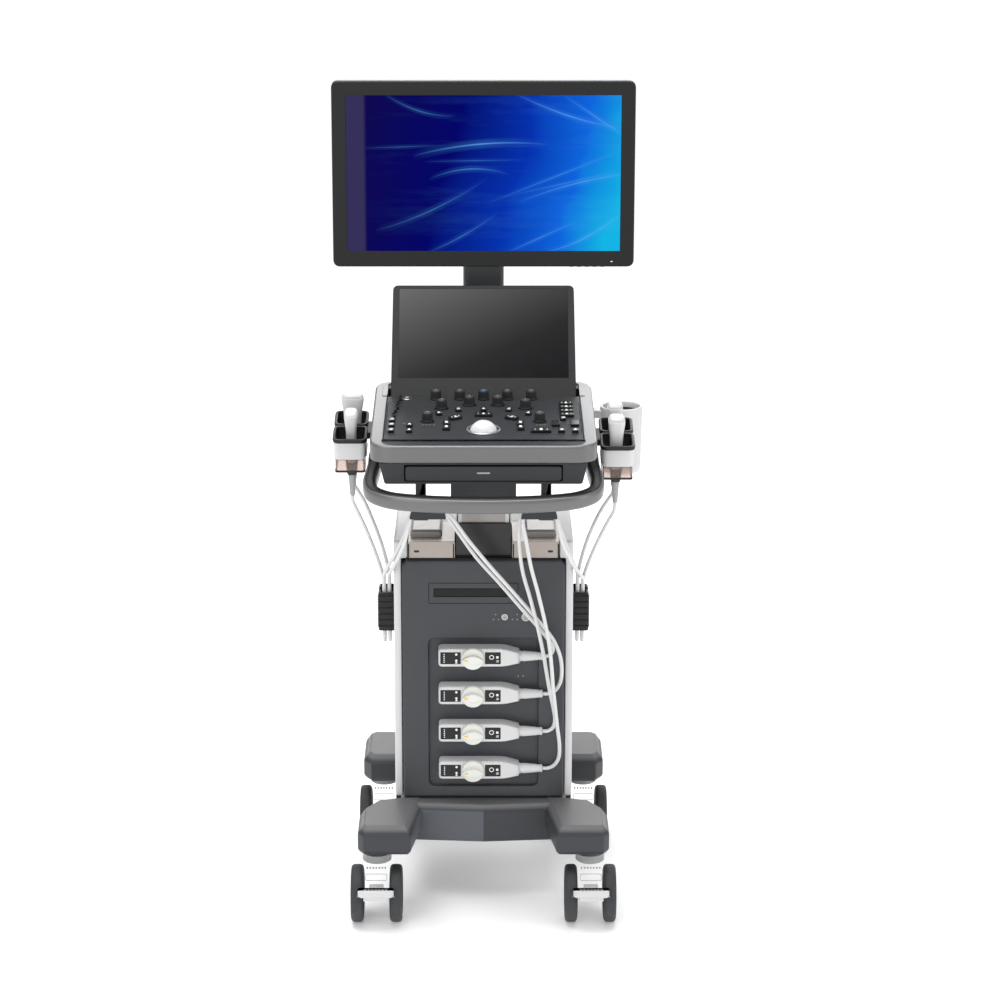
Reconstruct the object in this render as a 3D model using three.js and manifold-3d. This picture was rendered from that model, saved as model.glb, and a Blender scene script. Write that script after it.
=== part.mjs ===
// Ultrasound machine on a wheeled cart, in millimetres, +Z up, its front facing -Y.
// The floor is z = 0 and the plane x = 0 is the middle of the cart.
import * as THREE from "three";
import { mergeVertices } from "three/addons/utils/BufferGeometryUtils.js";
import Module from "manifold-3d";

// ---- driving dimensions ----
const FIT = 0.3; // gap between pieces that touch
const BASE = { bottom: 111, top: 180, legBottom: 130, legTop: 182 };
const CASTER = { x: 184.5, frontY: -160, rearY: 225, trail: 24, radius: 50, inner: 22.5, outer: 44, axle: 6 };
const CABINET = { half: 155, front: -66, back: 237, bottom: 183, top: 650, wall: 5 };
const COVER = { half: 141, front: -73, back: -45, bottom: 183, top: 618 };
const BAY = { half: 94.4, bottom: 206, top: 476, depth: 8 };
const CONNECTOR = {
  front: -95, left: -78, right: 62, half: 16.5, top: 448, pitch: 68.7, count: 4, lockX: -18.4,
};
const SLEEVE = { half: 48, front: -60, back: 40, wall: 3, top: 680 };
const COLUMN = { half: 44, front: -56, back: 36, bottom: 470, top: 774.7 };
const CONSOLE = { half: 188, front: -243, back: 107, bottom: 832, frontTop: 861, backTop: 893 };
const PANEL = { half: 166, front: -221, back: 96, sunk: 2 };
const TUB = { halfTop: 172, halfBottom: 163, front: -235, back: 100, bottom: 795, top: 831.7 };
const DRAWER = { half: 128.5, bottom: 801.5, top: 825.5, back: 15 };
const HANDLE = { half: 12, tall: 13, front: -279, frontZ: 770, rise: 7 };
const HOOK = { x: 93, z: 722, radius: 20.5, postY: -150, tip: -187 };
const GUIDE = { inner: 155.3, outer: 185, front: 12, back: 72, bottom: 463, top: 533, wall: 4, mouth: 14 };
const TRACKBALL = { up: 92, radius: 24, sunk: 10 };
const KEYPAD = { half: 163, near: 66, far: 236, thick: 3, travel: 1.7 };
const KNOB = { base: 9.8, top: 6.9, height: 16 };
const TOUCH = { half: 160.5, tall: 215, thick: 18, hingeY: 41, hingeZ: 880, lean: 35 };
const MONITOR = { half: 263, bottom: 1088, top: 1412, front: 147, thick: 28, sideBezel: 24.5, lowBezel: 28 };
const POST = { half: 36, front: 200, back: 236, foot: 832, top: 1200 };
const TILT = { y: 212, z: 1245, radius: 11 };
const HOLDER = { x: 226, wide: 58, deep: 62, tall: 38, pitch: 66, wall: 5, lean: 10 };
const PROBE = { x: 224, tail: 116, relief: 62 };
const GEL = { x: 240, y: 60, bottom: 742, top: 860, radius: 37, wall: 3 };
const CABLE = { radius: 3.25, sides: 8, steps: 62 };

const SLATE = [0x46484c, 0.45, 0.1];
const DARK = [0x2c2d30, 0.5, 0.1];
const BLACK = [0x18181a, 0.55, 0];
const WHITE = [0xe9e9ea, 0.4, 0];
const SILVER = [0x98989c, 0.35, 0.5];
const TAUPE = [0xa39890, 0.4, 0.3];
const STEEL = [0x8b8986, 0.4, 0.8];
const RUBBER = [0x3b3d40, 0.8, 0];
const GLASS = [0x101318, 0.08, 0];

const degrees = THREE.MathUtils.degToRad;
const slope = Math.atan2(CONSOLE.backTop - CONSOLE.frontTop, CONSOLE.back - CONSOLE.front);
const bothSides = [-1, 1];

// ---- solids ----
const wasm = await Module();
wasm.setup();

function solidOf(geometry) {
  const bare = geometry.index ? geometry.toNonIndexed() : geometry.clone();
  bare.deleteAttribute("normal");
  bare.deleteAttribute("uv");
  const merged = mergeVertices(bare, 1e-4);
  const vertProperties = merged.attributes.position.array;
  const triVerts = new Uint32Array(merged.index.array);
  return new wasm.Manifold(new wasm.Mesh({ numProp: 3, vertProperties, triVerts }));
}

function geometryOf(solid) {
  const mesh = solid.getMesh();
  const indexed = new THREE.BufferGeometry();
  indexed.setAttribute("position", new THREE.BufferAttribute(mesh.vertProperties, 3));
  indexed.setIndex(new THREE.BufferAttribute(mesh.triVerts, 1));
  const flat = indexed.toNonIndexed();
  flat.computeVertexNormals();
  return flat;
}

const join = (...parts) => geometryOf(parts.map(solidOf).reduce((a, b) => a.add(b)));
const cut = (body, ...tools) => geometryOf(tools.map(solidOf).reduce((a, b) => a.subtract(b), solidOf(body)));
const common = (a, b) => geometryOf(solidOf(a).intersect(solidOf(b)));

// A box from its lowest to its highest corner.
function box([x0, y0, z0], [x1, y1, z1]) {
  const made = new THREE.BoxGeometry(x1 - x0, y1 - y0, z1 - z0);
  return made.translate((x0 + x1) / 2, (y0 + y1) / 2, (z0 + z1) / 2);
}

// A closed outline through corners [u, v, radius]; radius falls back to the second argument.
function outline(corners, radius = 0, arcSteps = 3) {
  const shape = new THREE.Shape();
  corners.forEach(([u, v, own], i) => {
    const here = new THREE.Vector2(u, v);
    const r = own ?? radius;
    const towards = (j) => {
      const [a, b] = corners[(j + corners.length) % corners.length];
      return here.clone().add(new THREE.Vector2(a, b).sub(here).setLength(r));
    };
    const start = r > 0 ? towards(i - 1) : here;
    if (i === 0) shape.moveTo(start.x, start.y);
    else shape.lineTo(start.x, start.y);
    if (r > 0) {
      const end = towards(i + 1);
      shape.quadraticCurveTo(u, v, end.x, end.y);
    }
  });
  shape.closePath();
  shape.userData = { arcSteps };
  return shape;
}

function rectangle(u0, u1, v0, v1, radius, arcSteps) {
  return outline([[u0, v0], [u1, v0], [u1, v1], [u0, v1]], radius, arcSteps);
}

function extruded(shape, depth, bevel) {
  const made = new THREE.ExtrudeGeometry(shape, {
    depth: depth - 2 * bevel,
    steps: 1,
    curveSegments: shape.userData.arcSteps,
    bevelEnabled: bevel > 0,
    bevelThickness: bevel,
    bevelSize: bevel,
    bevelOffset: -bevel,
    bevelSegments: 1,
  });
  return made.translate(0, 0, bevel);
}

// The outline lies in X and Y and is extruded up.
function upright(shape, z0, z1, bevel = 0) {
  return extruded(shape, z1 - z0, bevel).translate(0, 0, z0);
}

// The outline lies in X and Z and is extruded from front to back.
function facing(shape, y0, y1, bevel = 0) {
  return extruded(shape, y1 - y0, bevel).rotateX(Math.PI / 2).translate(0, y1, 0);
}

// The outline lies in Y and Z and is extruded from left to right.
function across(shape, x0, x1, bevel = 0) {
  const turn = new THREE.Matrix4().makeBasis(
    new THREE.Vector3(0, 1, 0),
    new THREE.Vector3(0, 0, 1),
    new THREE.Vector3(1, 0, 0),
  );
  return extruded(shape, x1 - x0, bevel).applyMatrix4(turn).translate(x0, 0, 0);
}

// A profile [radius, height] turned about +Z.
function turned(profile, segments) {
  const points = profile.map(([r, h]) => new THREE.Vector2(r, h));
  return new THREE.LatheGeometry(points, segments).rotateX(Math.PI / 2);
}

// A rod along X, Y or Z, tapered when two radii are given.
function rod(axis, from, length, radius, segments = 12, endRadius = radius) {
  const made = turned([[0, 0], [radius, 0], [endRadius, length], [0, length]], segments);
  if (axis === "x") made.rotateY(Math.PI / 2);
  if (axis === "y") made.rotateX(-Math.PI / 2);
  return made.translate(...from);
}

const machine = new THREE.Group();

function piece(parent, name, geometry, [colour, roughness, metalness]) {
  const material = new THREE.MeshStandardMaterial({ color: colour, roughness, metalness });
  const mesh = new THREE.Mesh(geometry, material);
  mesh.name = name;
  parent.add(mesh);
  return mesh;
}

function group(x, y, z, tiltDegrees = 0) {
  const made = new THREE.Group();
  made.position.set(x, y, z);
  made.rotation.x = degrees(tiltDegrees);
  machine.add(made);
  return made;
}

// ---- base and casters ----
const mirrorX = (corners) => corners.map(([u, v, r]) => [-u, v, r]).reverse();

function baseCover() {
  const hub = [[-122, -96], [0, -106, 0], [122, -96], [146, -58], [146, 240], [-146, 240], [-146, -58]];
  const frontLeg = [[-98, -50], [-140, -56], [-190, -72], [-216, -118], [-216, -200], [-206, -213],
    [-125, -213], [-108, -96]];
  const rearLeg = [[-98, 262], [-130, 285], [-206, 285], [-220, 270], [-220, 164], [-206, 142], [-98, 142]];
  const legs = [frontLeg, rearLeg].flatMap((corners) => [corners, mirrorX(corners)]);
  const solids = legs.map((corners) => upright(outline(corners, 6, 2), BASE.legBottom, BASE.legTop));
  const body = join(upright(outline(hub, 6, 2), BASE.bottom, BASE.top, 5), ...solids);
  const sockets = casterPlaces().map(({ x, y }) => rod("z", [x, y, BASE.legBottom - 1], 22, 9));
  return cut(body, ...sockets);
}

function casterPlaces() {
  return [
    { name: "front_left", x: -CASTER.x, y: CASTER.frontY, brake: true },
    { name: "front_right", x: CASTER.x, y: CASTER.frontY, brake: true },
    { name: "rear_left", x: -CASTER.x, y: CASTER.rearY, brake: false },
    { name: "rear_right", x: CASTER.x, y: CASTER.rearY, brake: false },
  ];
}

// The caster pieces stand on their own swivel axis; the wheels sit a trail's length in front of it.
function casterFork(withBrake) {
  const side = outline([[20, 106], [16, 62], [-10, 38], [-38, 38], [-52, 60], [-52, 96], [-40, 106]], 5, 2);
  const half = CASTER.inner - 1;
  const body = join(
    across(side, -half, half),
    rod("z", [0, 0, 105], 13, 25, 16),
    rod("z", [0, 0, 110], 39, 8),
  );
  const bore = rod("x", [-half - 1, -CASTER.trail, CASTER.radius], 2 * half + 2, CASTER.axle + 0.5);
  const notch = box([-13.5, -60, 61], [13.5, -39, 80]);
  return withBrake ? cut(body, bore, notch) : cut(body, bore);
}

function wheelPair() {
  const { radius, inner, outer, axle } = CASTER;
  const edge = 3.5;
  const wheel = turned(
    [[0, inner], [radius - edge, inner], [radius, inner + edge], [radius, outer - edge],
      [radius - edge, outer], [radius - 14, outer], [0, outer - 4]],
    16,
  );
  const pair = bothSides.map((side) => wheel.clone().rotateY((side * Math.PI) / 2));
  return join(...pair, rod("x", [-inner - 1, 0, 0], 2 * inner + 2, axle));
}

function brakePedal() {
  const plan = [[-31.5, -80], [-26, -87.5], [26, -87.5], [31.5, -80], [31.5, -76.5], [-31.5, -76.5]];
  const bar = upright(outline(plan, 1, 1), 66, 79);
  const lip = box([-21, -85, 59], [21, -78, 68]);
  const tongue = box([-12, -78, 66], [12, -46, 73.5]);
  return join(bar, lip, tongue, rod("x", [-12, -46, 70], 24, 5, 10));
}

function addCasters() {
  casterPlaces().forEach(({ name, x, y, brake }) => {
    const caster = group(x, y, 0);
    piece(caster, `caster_fork_${name}`, casterFork(brake), WHITE);
    const wheels = piece(caster, `caster_wheels_${name}`, wheelPair(), RUBBER);
    wheels.position.set(0, -CASTER.trail, CASTER.radius);
    if (brake) piece(caster, `brake_pedal_${name}`, brakePedal(), WHITE);
  });
}

// ---- cabinet ----
function chassis() {
  const { half, front, back, wall, top } = SLEEVE;
  const plate = box([-128, -50, 182.5], [128, 222, 188]);
  const tube = box([-half, front, 186], [half, back, top]);
  const bore = box([-half + wall, front + wall, 190], [half - wall, back - wall, top + 1]);
  const cage = cut(box([-120, 66, 186], [120, 214, 560]), box([-116, 70, 192], [116, 210, 561]));
  const braces = bothSides.map((side) => box([side * 40 - 4, 38, 186], [side * 40 + 4, 68, 500]));
  return cut(join(plate, tube, cage, ...braces), bore);
}

function frontCover() {
  const { half, front, back, bottom, top } = COVER;
  const wall = 5;
  const face = 12;
  const plan = outline([[-half, back, 0], [-half, front, 10], [half, front, 10], [half, back, 0],
    [half - wall, back, 0], [half - wall, front + face, 0], [-half + wall, front + face, 0],
    [-half + wall, back, 0]], 0, 3);
  const bay = facing(rectangle(-BAY.half, BAY.half, BAY.bottom, BAY.top, 10), front - 1, front + BAY.depth);
  const slot = box([-86, front - 1, 551.5], [47.5, front + 3, 566.8]);
  return cut(upright(plan, bottom, top), bay, slot);
}

function bodyShell() {
  const { half, front, back, bottom, top, wall } = CABINET;
  const plan = outline([[-half, front, 8], [half, front, 8], [half, back, 45], [-half, back, 45]], 0, 4);
  const outer = upright(plan, bottom, top, 3);
  const room = rectangle(-half + wall, half - wall, front + 16, back - wall, 30);
  const inside = upright(room, bottom - 1, top - wall);
  const wide = COVER.half + 1;
  const mouth = box([-wide, front - 9, bottom - 1], [wide, COVER.back + 1, COVER.top + 1]);
  const deckWell = box([-131, front - 9, 600], [131, 63, top + 1]);
  return cut(outer, inside, mouth, deckWell);
}

function topDeck() {
  const half = 130;
  const front = -70;
  const sleeve = SLEEVE.half + 1;
  const notch = SLEEVE.back + 1;
  const plan = outline([[-half, front], [-sleeve, front], [-sleeve, notch], [sleeve, notch],
    [sleeve, front], [half, front], [half, 62], [-half, 62]]);
  const fascias = bothSides.map((side) => {
    const [near, far] = side < 0 ? [-half, -sleeve] : [sleeve, half];
    return box([near, front, 620.5], [far, front + 6, 645]);
  });
  const blocks = bothSides.map((side) => {
    const [near, far] = side < 0 ? [-126, -72] : [72, 126];
    return upright(rectangle(near, far, -40, 52, 4, 2), 640, 662, 4);
  });
  return join(upright(plan, 644, CABINET.top), ...fascias, ...blocks);
}

// An upright guide for the cable loops, C-shaped from above with its mouth facing outwards.
function cableGuide(side) {
  const { inner, outer, front, back, bottom, top, wall, mouth } = GUIDE;
  const solid = upright(rectangle(inner, outer, front, back, 5, 2), bottom, top, 1.5);
  const well = box([inner + wall, front + wall, bottom - 1], [outer - wall, back - wall, top + 1]);
  const middle = (front + back) / 2;
  const reach = mouth / 2;
  const gap = box([outer - wall - 1, middle - reach, bottom - 1], [outer + 1, middle + reach, top + 1]);
  const guide = cut(solid, well, gap);
  return side < 0 ? guide.rotateZ(Math.PI).translate(0, front + back, 0) : guide;
}

function addCabinet() {
  piece(machine, "chassis", chassis(), STEEL);
  piece(machine, "front_cover", frontCover(), SLATE);
  piece(machine, "body_shell", bodyShell(), WHITE);
  piece(machine, "top_deck", topDeck(), TAUPE);
  piece(machine, "cable_guide_left", cableGuide(-1), BLACK);
  piece(machine, "cable_guide_right", cableGuide(1), BLACK);
}

// ---- probe connectors ----
function connector() {
  const { front, left, right, half, lockX } = CONNECTOR;
  const back = COVER.front + BAY.depth - FIT;
  const corners = [[left, -half], [36, -half], [right, -10.5], [right, 9], [36, half], [left, half]];
  const face = outline(corners, 5, 2);
  const relief = rod("x", [right - 1, -80, -1], 42, 9.5, 12, 5.5);
  const shaftHole = rod("y", [lockX, front - 1, 0], 12, 4.6);
  return cut(join(facing(face, front, back, 3), relief), shaftHole);
}

function connectorLock() {
  const { front } = CONNECTOR;
  const disc = rod("y", [0, front - FIT - 8, 0], 8, 19.5, 20);
  const grip = facing(outline([[-18, 0, 0], [0, -8, 9], [18, 0, 0], [0, 8, 9]], 0, 3), front - 16, front - 7);
  const shaft = rod("y", [0, front - 1, 0], 10, 4, 10);
  return join(disc, grip, shaft);
}

function addConnectors() {
  for (let i = 0; i < CONNECTOR.count; i += 1) {
    const z = CONNECTOR.top - i * CONNECTOR.pitch;
    piece(machine, `probe_connector_${i + 1}`, connector(), WHITE).position.z = z;
    piece(machine, `connector_lock_${i + 1}`, connectorLock(), WHITE).position.set(CONNECTOR.lockX, 0, z);
  }
}

// ---- console ----
function consoleTub() {
  const { halfTop, halfBottom, front, back, bottom, top } = TUB;
  const corners = [[-halfTop, top], [-halfBottom, bottom], [halfBottom, bottom], [halfTop, top]];
  const section = outline(corners, 3, 2);
  const neck = box([-56, -70, 712], [56, 50, bottom + 5]);
  const neckWell = box([-51, -65, 700], [51, 45, COLUMN.top + FIT]);
  const bracket = upright(rectangle(-45, 45, 60, 245, 12, 3), 797, top);
  const drawerWell = box([-DRAWER.half - 1.5, front - 1, 800], [DRAWER.half + 1.5, 30, 827]);
  const hooks = bothSides.flatMap((side) => cableHook(side));
  const solid = join(facing(section, front, back), neck, bracket, ...hooks);
  return cut(solid, neckWell, drawerWell);
}

// A post under the console with a half-round saddle that the probe cables lie over.
function cableHook(side) {
  const { x, z, radius, postY, tip } = HOOK;
  const postX = side * 105.3;
  const post = box([postX - 8.7, postY - 8, 712], [postX + 8.7, postY + 8, TUB.bottom + 3]);
  const foot = box([postX - 12.5, postY - 10, 712], [postX + 12.5, postY + 10, 721]);
  const shape = new THREE.Shape();
  shape.absarc(0, 0, radius, 0, Math.PI, false);
  shape.closePath();
  shape.userData = { arcSteps: 12 };
  const lip = new THREE.Shape();
  lip.absarc(0, 0, radius + 10, 0, Math.PI, false);
  lip.closePath();
  lip.userData = { arcSteps: 12 };
  const saddle = facing(shape, tip, postY).translate(side * x, 0, z);
  const guard = facing(lip, tip - 3, tip).translate(side * x, 0, z);
  return [post, foot, saddle, guard];
}

// The console's silver frame: round corners from above, its top sloping down to the front.
function consoleBezel() {
  const { half, front, back, bottom, frontTop, backTop } = CONSOLE;
  const plan = upright(rectangle(-half, half, front, back, 22, 5), bottom, backTop + 1);
  const side = across(outline([[front, bottom], [front, frontTop - 3], [front + 4, frontTop], [back, backTop],
    [back, bottom]]), -half - 1, half + 1);
  const opening = rectangle(-PANEL.half, PANEL.half, PANEL.front, PANEL.back, 12, 3);
  const well = upright(opening, bottom - 1, backTop + 2);
  return cut(common(plan, side), well);
}

const panelFrame = group(0, CONSOLE.front, CONSOLE.frontTop, THREE.MathUtils.radToDeg(slope));

const knobPlaces = [
  ...[-82, -41, 0, 41, 82].map((x) => ({ x, up: 255 })),
  ...[-24.3, 24.3].map((x) => ({ x, up: 222 })),
  ...[-71.5, 71.5].map((x) => ({ x, up: 204 })),
  ...[-94.5, 94.5].map((x) => ({ x, up: 135 })),
];

// Keys on the mat: centre x, distance up the panel, half width, half height.
const keys = [
  ...bothSides.flatMap((side) => [
    [side * 47.5, 147, 11, 5],
    [side * 62, 118, 6, 7],
    [side * 62, 95, 6, 7],
    [side * 76, 169, 4.5, 4.5],
    [side * 43, 189, 5, 4.5],
  ]),
  [0, 163, 15, 4.5],
  [0, 190, 5, 4.5],
  ...[80, 108, 134].map((up) => [-154, up, 5, 5]),
  ...[80, 108].map((up) => [-124, up, 5, 5]),
  ...[162, 182, 202, 222].map((up) => [141, up, 12, 5]),
  [96, 80, 17, 5],
  [121, 117, 7, 9],
  [153, 117, 7, 9],
  [134, 142, 5, 5],
  [130, 80, 5, 5],
  [153, 80, 5, 5],
];

// The panel, in its own sloping frame: x across, y up the slope, z out of the surface.
function controlPanel() {
  const top = -PANEL.sunk;
  const { half, near, far, thick, travel } = KEYPAD;
  const reach = (PANEL.back - PANEL.front) / Math.cos(slope);
  const start = (PANEL.front - CONSOLE.front) / Math.cos(slope);
  const slab = box([-PANEL.half, start - 10, -80], [PANEL.half, start + reach + 10, top]);
  const side = PANEL.half - 0.5;
  const frameHole = rectangle(-side, side, PANEL.front + 0.5, PANEL.back - 0.5, 11, 3);
  const core = upright(frameHole, TUB.top - 5, CONSOLE.backTop + 5);
  const world = common(slab.applyMatrix4(panelMatrix()), core);
  const floor = box([-200, -300, 700], [200, 200, TUB.top + FIT]);
  const trough = box([-PANEL.half - 1, 25, 868], [PANEL.half + 1, 70, 910]);
  const wellShape = rectangle(-half - 0.5, half + 0.5, near - 0.5, far + 0.5, 10, 3);
  const bosses = knobPosts(10.5);
  const well = cut(upright(wellShape, top - thick - travel, 5), ...bosses);
  const ballHole = rod("z", [0, TRACKBALL.up, -60], 70, TRACKBALL.radius + 1, 24);
  const tools = [well, ballHole].map((tool) => tool.applyMatrix4(panelMatrix()));
  return cut(world, floor, trough, ...tools).applyMatrix4(panelMatrix().invert());
}

// A round post at every knob that stands on the keypad.
function knobPosts(radius) {
  const places = knobPlaces.filter(({ up }) => up < KEYPAD.far);
  return places.map(({ x, up }) => rod("z", [x, up, -20], 40, radius, 10));
}

function panelMatrix() {
  panelFrame.updateMatrix();
  return panelFrame.matrix.clone();
}

function keypad() {
  const { half, near, far, thick } = KEYPAD;
  const mat = upright(rectangle(-half, half, near, far, 10, 3), -PANEL.sunk - thick, -PANEL.sunk);
  const caps = keys.map(([x, up, w, h]) => box([x - w, up - h, -PANEL.sunk - 1],
    [x + w, up + h, 1.5]));
  return cut(join(mat, ...caps), rod("z", [0, TRACKBALL.up, -20], 40, 29, 24), ...knobPosts(11.8));
}

function knob() {
  const { base, top, height } = KNOB;
  return turned([[0, 0], [base, 0], [base, 3], [top + 0.8, 5.5], [top, height], [0, height]], 10);
}

function keyboardDrawer() {
  const { half, bottom, top, back } = DRAWER;
  const front = TUB.front - 3;
  const fascia = facing(rectangle(-half, half, bottom, top, 4, 2), front, front + 8);
  const hollow = box([-118, front + 12, 806], [118, back - 4, 823]);
  const tray = cut(box([-122, front + 7, 803], [122, back, 822]), hollow);
  const board = box([-112, front + 30, 805], [112, back - 30, 813]);
  return join(fascia, tray, board);
}

// The push handle: a bar bowed to the front whose arms run back to the tub's sides.
function frontHandle() {
  const half = [[168.9, -34], [173.5, -35], [181, -43.5], [183.5, -62], [184, -105], [187, -150], [189, -190],
    [182, -230], [156, -256], [110, -270], [55, -277]];
  const right = half.map(([x, y]) => new THREE.Vector3(x, y, 0));
  const left = half.map(([x, y]) => new THREE.Vector3(-x, y, 0)).reverse();
  const middle = new THREE.Vector3(0, HANDLE.front, 0);
  const path = new THREE.CatmullRomCurve3([...right, middle, ...left], false, "centripetal");
  const section = rectangle(-HANDLE.half, HANDLE.half, -HANDLE.tall, HANDLE.tall, 8, 3);
  const bar = new THREE.ExtrudeGeometry(section, {
    steps: 40,
    curveSegments: 1,
    extrudePath: path,
    bevelEnabled: false,
  });
  const rise = degrees(HANDLE.rise);
  return bar.rotateX(rise).translate(0, 0, HANDLE.frontZ - HANDLE.front * Math.sin(rise));
}

function addConsole() {
  piece(machine, "lift_column", box([-COLUMN.half, COLUMN.front, COLUMN.bottom],
    [COLUMN.half, COLUMN.back, COLUMN.top]), STEEL);
  piece(machine, "console_tub", consoleTub(), DARK);
  piece(machine, "console_bezel", consoleBezel(), SILVER);
  piece(machine, "keyboard_drawer", keyboardDrawer(), DARK);
  piece(machine, "front_handle", frontHandle(), SILVER);
  piece(panelFrame, "control_panel", controlPanel(), DARK);
  piece(panelFrame, "keypad", keypad(), BLACK);
  piece(panelFrame, "trackball", new THREE.SphereGeometry(TRACKBALL.radius, 16, 10), WHITE)
    .position.set(0, TRACKBALL.up, -TRACKBALL.sunk);
  knobPlaces.forEach(({ x, up }, i) => {
    piece(panelFrame, `knob_${String(i + 1).padStart(2, "0")}`, knob(), BLACK)
      .position.set(x, up, FIT - PANEL.sunk);
  });
}

// ---- screens ----
// The touch screen stands on its hinge line: y is its thickness, z its height.
function touchScreen() {
  const { half, tall, thick } = TOUCH;
  const head = tall - 8;
  const face = outline([[-half, -8, 4], [half, -8, 4], [half - 2, head, 9], [-half + 2, head, 9]], 0, 3);
  const slab = facing(face, -thick / 2, thick / 2, 2);
  const glassStep = facing(rectangle(-147.5, 147.5, 24, tall - 16, 1, 1), -thick / 2 - 1, -thick / 2 + 0.8);
  const barrels = bothSides.map((side) => rod("x", [side * 125 - 20, 0, 0], 40, 8, 12));
  return join(cut(slab, glassStep), ...barrels);
}

function armPost() {
  const { half, front, back, foot, top } = POST;
  const column = upright(rectangle(-half, half, front, back, 12, 4), foot + 10, top);
  const base = upright(rectangle(-44, 44, 182, 244, 10, 3), foot, foot + 18, 2);
  return join(column, base);
}

function monitorYoke() {
  const base = upright(rectangle(-52, 52, POST.front, POST.back, 7, 3), POST.top + FIT, 1228);
  const cheeks = bothSides.map((side) => {
    const side0 = side < 0 ? -52 : 41;
    return across(rectangle(POST.front, 230, 1220, 1263, 8, 3), side0, side0 + 11);
  });
  return join(base, ...cheeks);
}

function monitorHousing() {
  const { half, bottom, top, front, thick, sideBezel, lowBezel } = MONITOR;
  const slab = facing(rectangle(-half, half, bottom, top, 10, 3), front, front + thick, 3);
  const glass = rectangle(-half + sideBezel, half - sideBezel, bottom + lowBezel, top - sideBezel, 1, 1);
  const bulge = facing(rectangle(-150, 150, 1205, 1330, 20, 3), front + thick - 5, 190, 4);
  const web = box([-38, 185, TILT.z - 9], [38, TILT.y, TILT.z + 9]);
  const knuckle = rod("x", [-40, TILT.y, TILT.z], 80, TILT.radius, 16);
  return join(cut(slab, facing(glass, front - 1, front + 3)), bulge, web, knuckle);
}

function monitorScreen() {
  const { half, bottom, top, front, sideBezel, lowBezel } = MONITOR;
  const gap = FIT;
  const glass = rectangle(-half + sideBezel + gap, half - sideBezel - gap, bottom + lowBezel + gap,
    top - sideBezel - gap, 1, 1);
  return facing(glass, front + 0.8, front + 3 - gap);
}

function addScreens() {
  const touch = group(0, TOUCH.hingeY, TOUCH.hingeZ, -TOUCH.lean);
  piece(touch, "touch_screen", touchScreen(), BLACK);
  piece(machine, "arm_post", armPost(), SLATE);
  piece(machine, "monitor_yoke", monitorYoke(), DARK);
  piece(machine, "monitor_housing", monitorHousing(), DARK);
  piece(machine, "monitor_screen", monitorScreen(), GLASS);
}

// ---- probes and holders ----
// A holder stands at its front rim: two open cups one behind the other, each with a frame hanging under it.
function probeHolder(side) {
  const { wide, deep, tall, pitch, wall } = HOLDER;
  const half = wide / 2;
  const cups = [0, pitch].map((y) => cut(
    join(
      upright(rectangle(-half + 2, half - 2, y + 2, y + deep - 2, 9, 3), -tall, 0),
      upright(rectangle(-half, half, y, y + deep, 10, 3), -5, 0),
    ),
    upright(rectangle(-half + wall, half - wall, y + wall, y + deep - wall, 7, 3), -tall - 1, 1),
  ));
  const frames = [0, pitch].map((y) => cut(
    box([-half + 4, y + 4, -tall - 24], [half - 4, y + deep - 4, -tall + 1]),
    box([-half + 8, y + 8, -tall - 25], [half - 8, y + deep - 8, -tall + 2]),
  ));
  const between = box([-16, deep - 4, -tall + 4], [16, pitch + 4, -4]);
  const inward = -side;
  const plateX = inward * (HOLDER.x - CONSOLE.half - FIT);
  const [railFrom, railTo] = inward > 0 ? [half - 4, plateX] : [plateX, -half + 4];
  const rail = box([railFrom, 40, -14], [railTo, 90, -5]);
  return join(...cups, ...frames, between, rail);
}

// A probe along its own axis: the rounded head up, the tapered cable relief down.
function probe(widthScale, depthScale, headTop) {
  const { tail, relief } = PROBE;
  const body = turned(
    [[0, -relief], [9, -relief], [10.5, -40], [11, 0], [13, headTop - 26], [14.5, headTop - 10],
      [12, headTop - 2], [0, headTop]],
    14,
  ).scale(widthScale, depthScale, 1);
  return join(body, rod("z", [0, 0, -tail], tail - relief + 4, 4.2, 10, 6.5));
}

const probeKinds = {
  front_left: { side: -1, back: false, width: 0.78, depth: 1.15, top: 42 },
  rear_left: { side: -1, back: true, width: 1.35, depth: 0.8, top: 45 },
  rear_right: { side: 1, back: true, width: 0.88, depth: 1.1, top: 40 },
  front_right: { side: 1, back: false, width: 0.95, depth: 1.1, top: 44 },
};

const holderPlaces = { "-1": { y: -113, z: 840 }, 1: { y: -138, z: 834 } };

function gelCup() {
  const { radius, wall, bottom, top } = GEL;
  const tall = top - bottom;
  const cup = turned([[0, 0], [radius - 8, 0], [radius - 3, 5], [radius, tall - 2], [radius - 1, tall],
    [radius - wall, tall - 1], [radius - wall - 3, 8], [0, 8]], 24);
  const arm = box([CONSOLE.half + FIT - GEL.x, -12, 96], [-radius + 3, 12, 112]);
  return join(cup, arm);
}

function addProbes() {
  bothSides.forEach((side) => {
    const { y, z } = holderPlaces[side];
    const holder = group(side * HOLDER.x, y, z, HOLDER.lean);
    piece(holder, side < 0 ? "probe_holder_left" : "probe_holder_right", probeHolder(side), WHITE);
    Object.entries(probeKinds).filter(([, kind]) => kind.side === side).forEach(([name, kind]) => {
      const made = piece(holder, `probe_${name}`, probe(kind.width, kind.depth, kind.top), WHITE);
      made.position.set(side * (PROBE.x - HOLDER.x), HOLDER.deep / 2 + (kind.back ? HOLDER.pitch : 0), 0);
    });
  });
  piece(machine, "gel_cup", gelCup(), WHITE).position.set(GEL.x, GEL.y, GEL.bottom);
}

// ---- probe cables ----
// Each route runs from a connector's relief up over the console's saddle, down outside the cabinet,
// through the side guide, round a hanging loop and up again to its probe.
const overSaddle = (side, y) => [[74, y, 741], [93, y, 748.6], [112, y, 741], [123, y + 2, 718]]
  .map(([x, depth, z]) => [side * x, depth, z]);

const loopRun = [[20, 540], [26, 516], [27, 490], [28, 462], [34, 444], [42, 437], [50, 444], [56, 462],
  [57, 490], [57, 520]];

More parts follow.
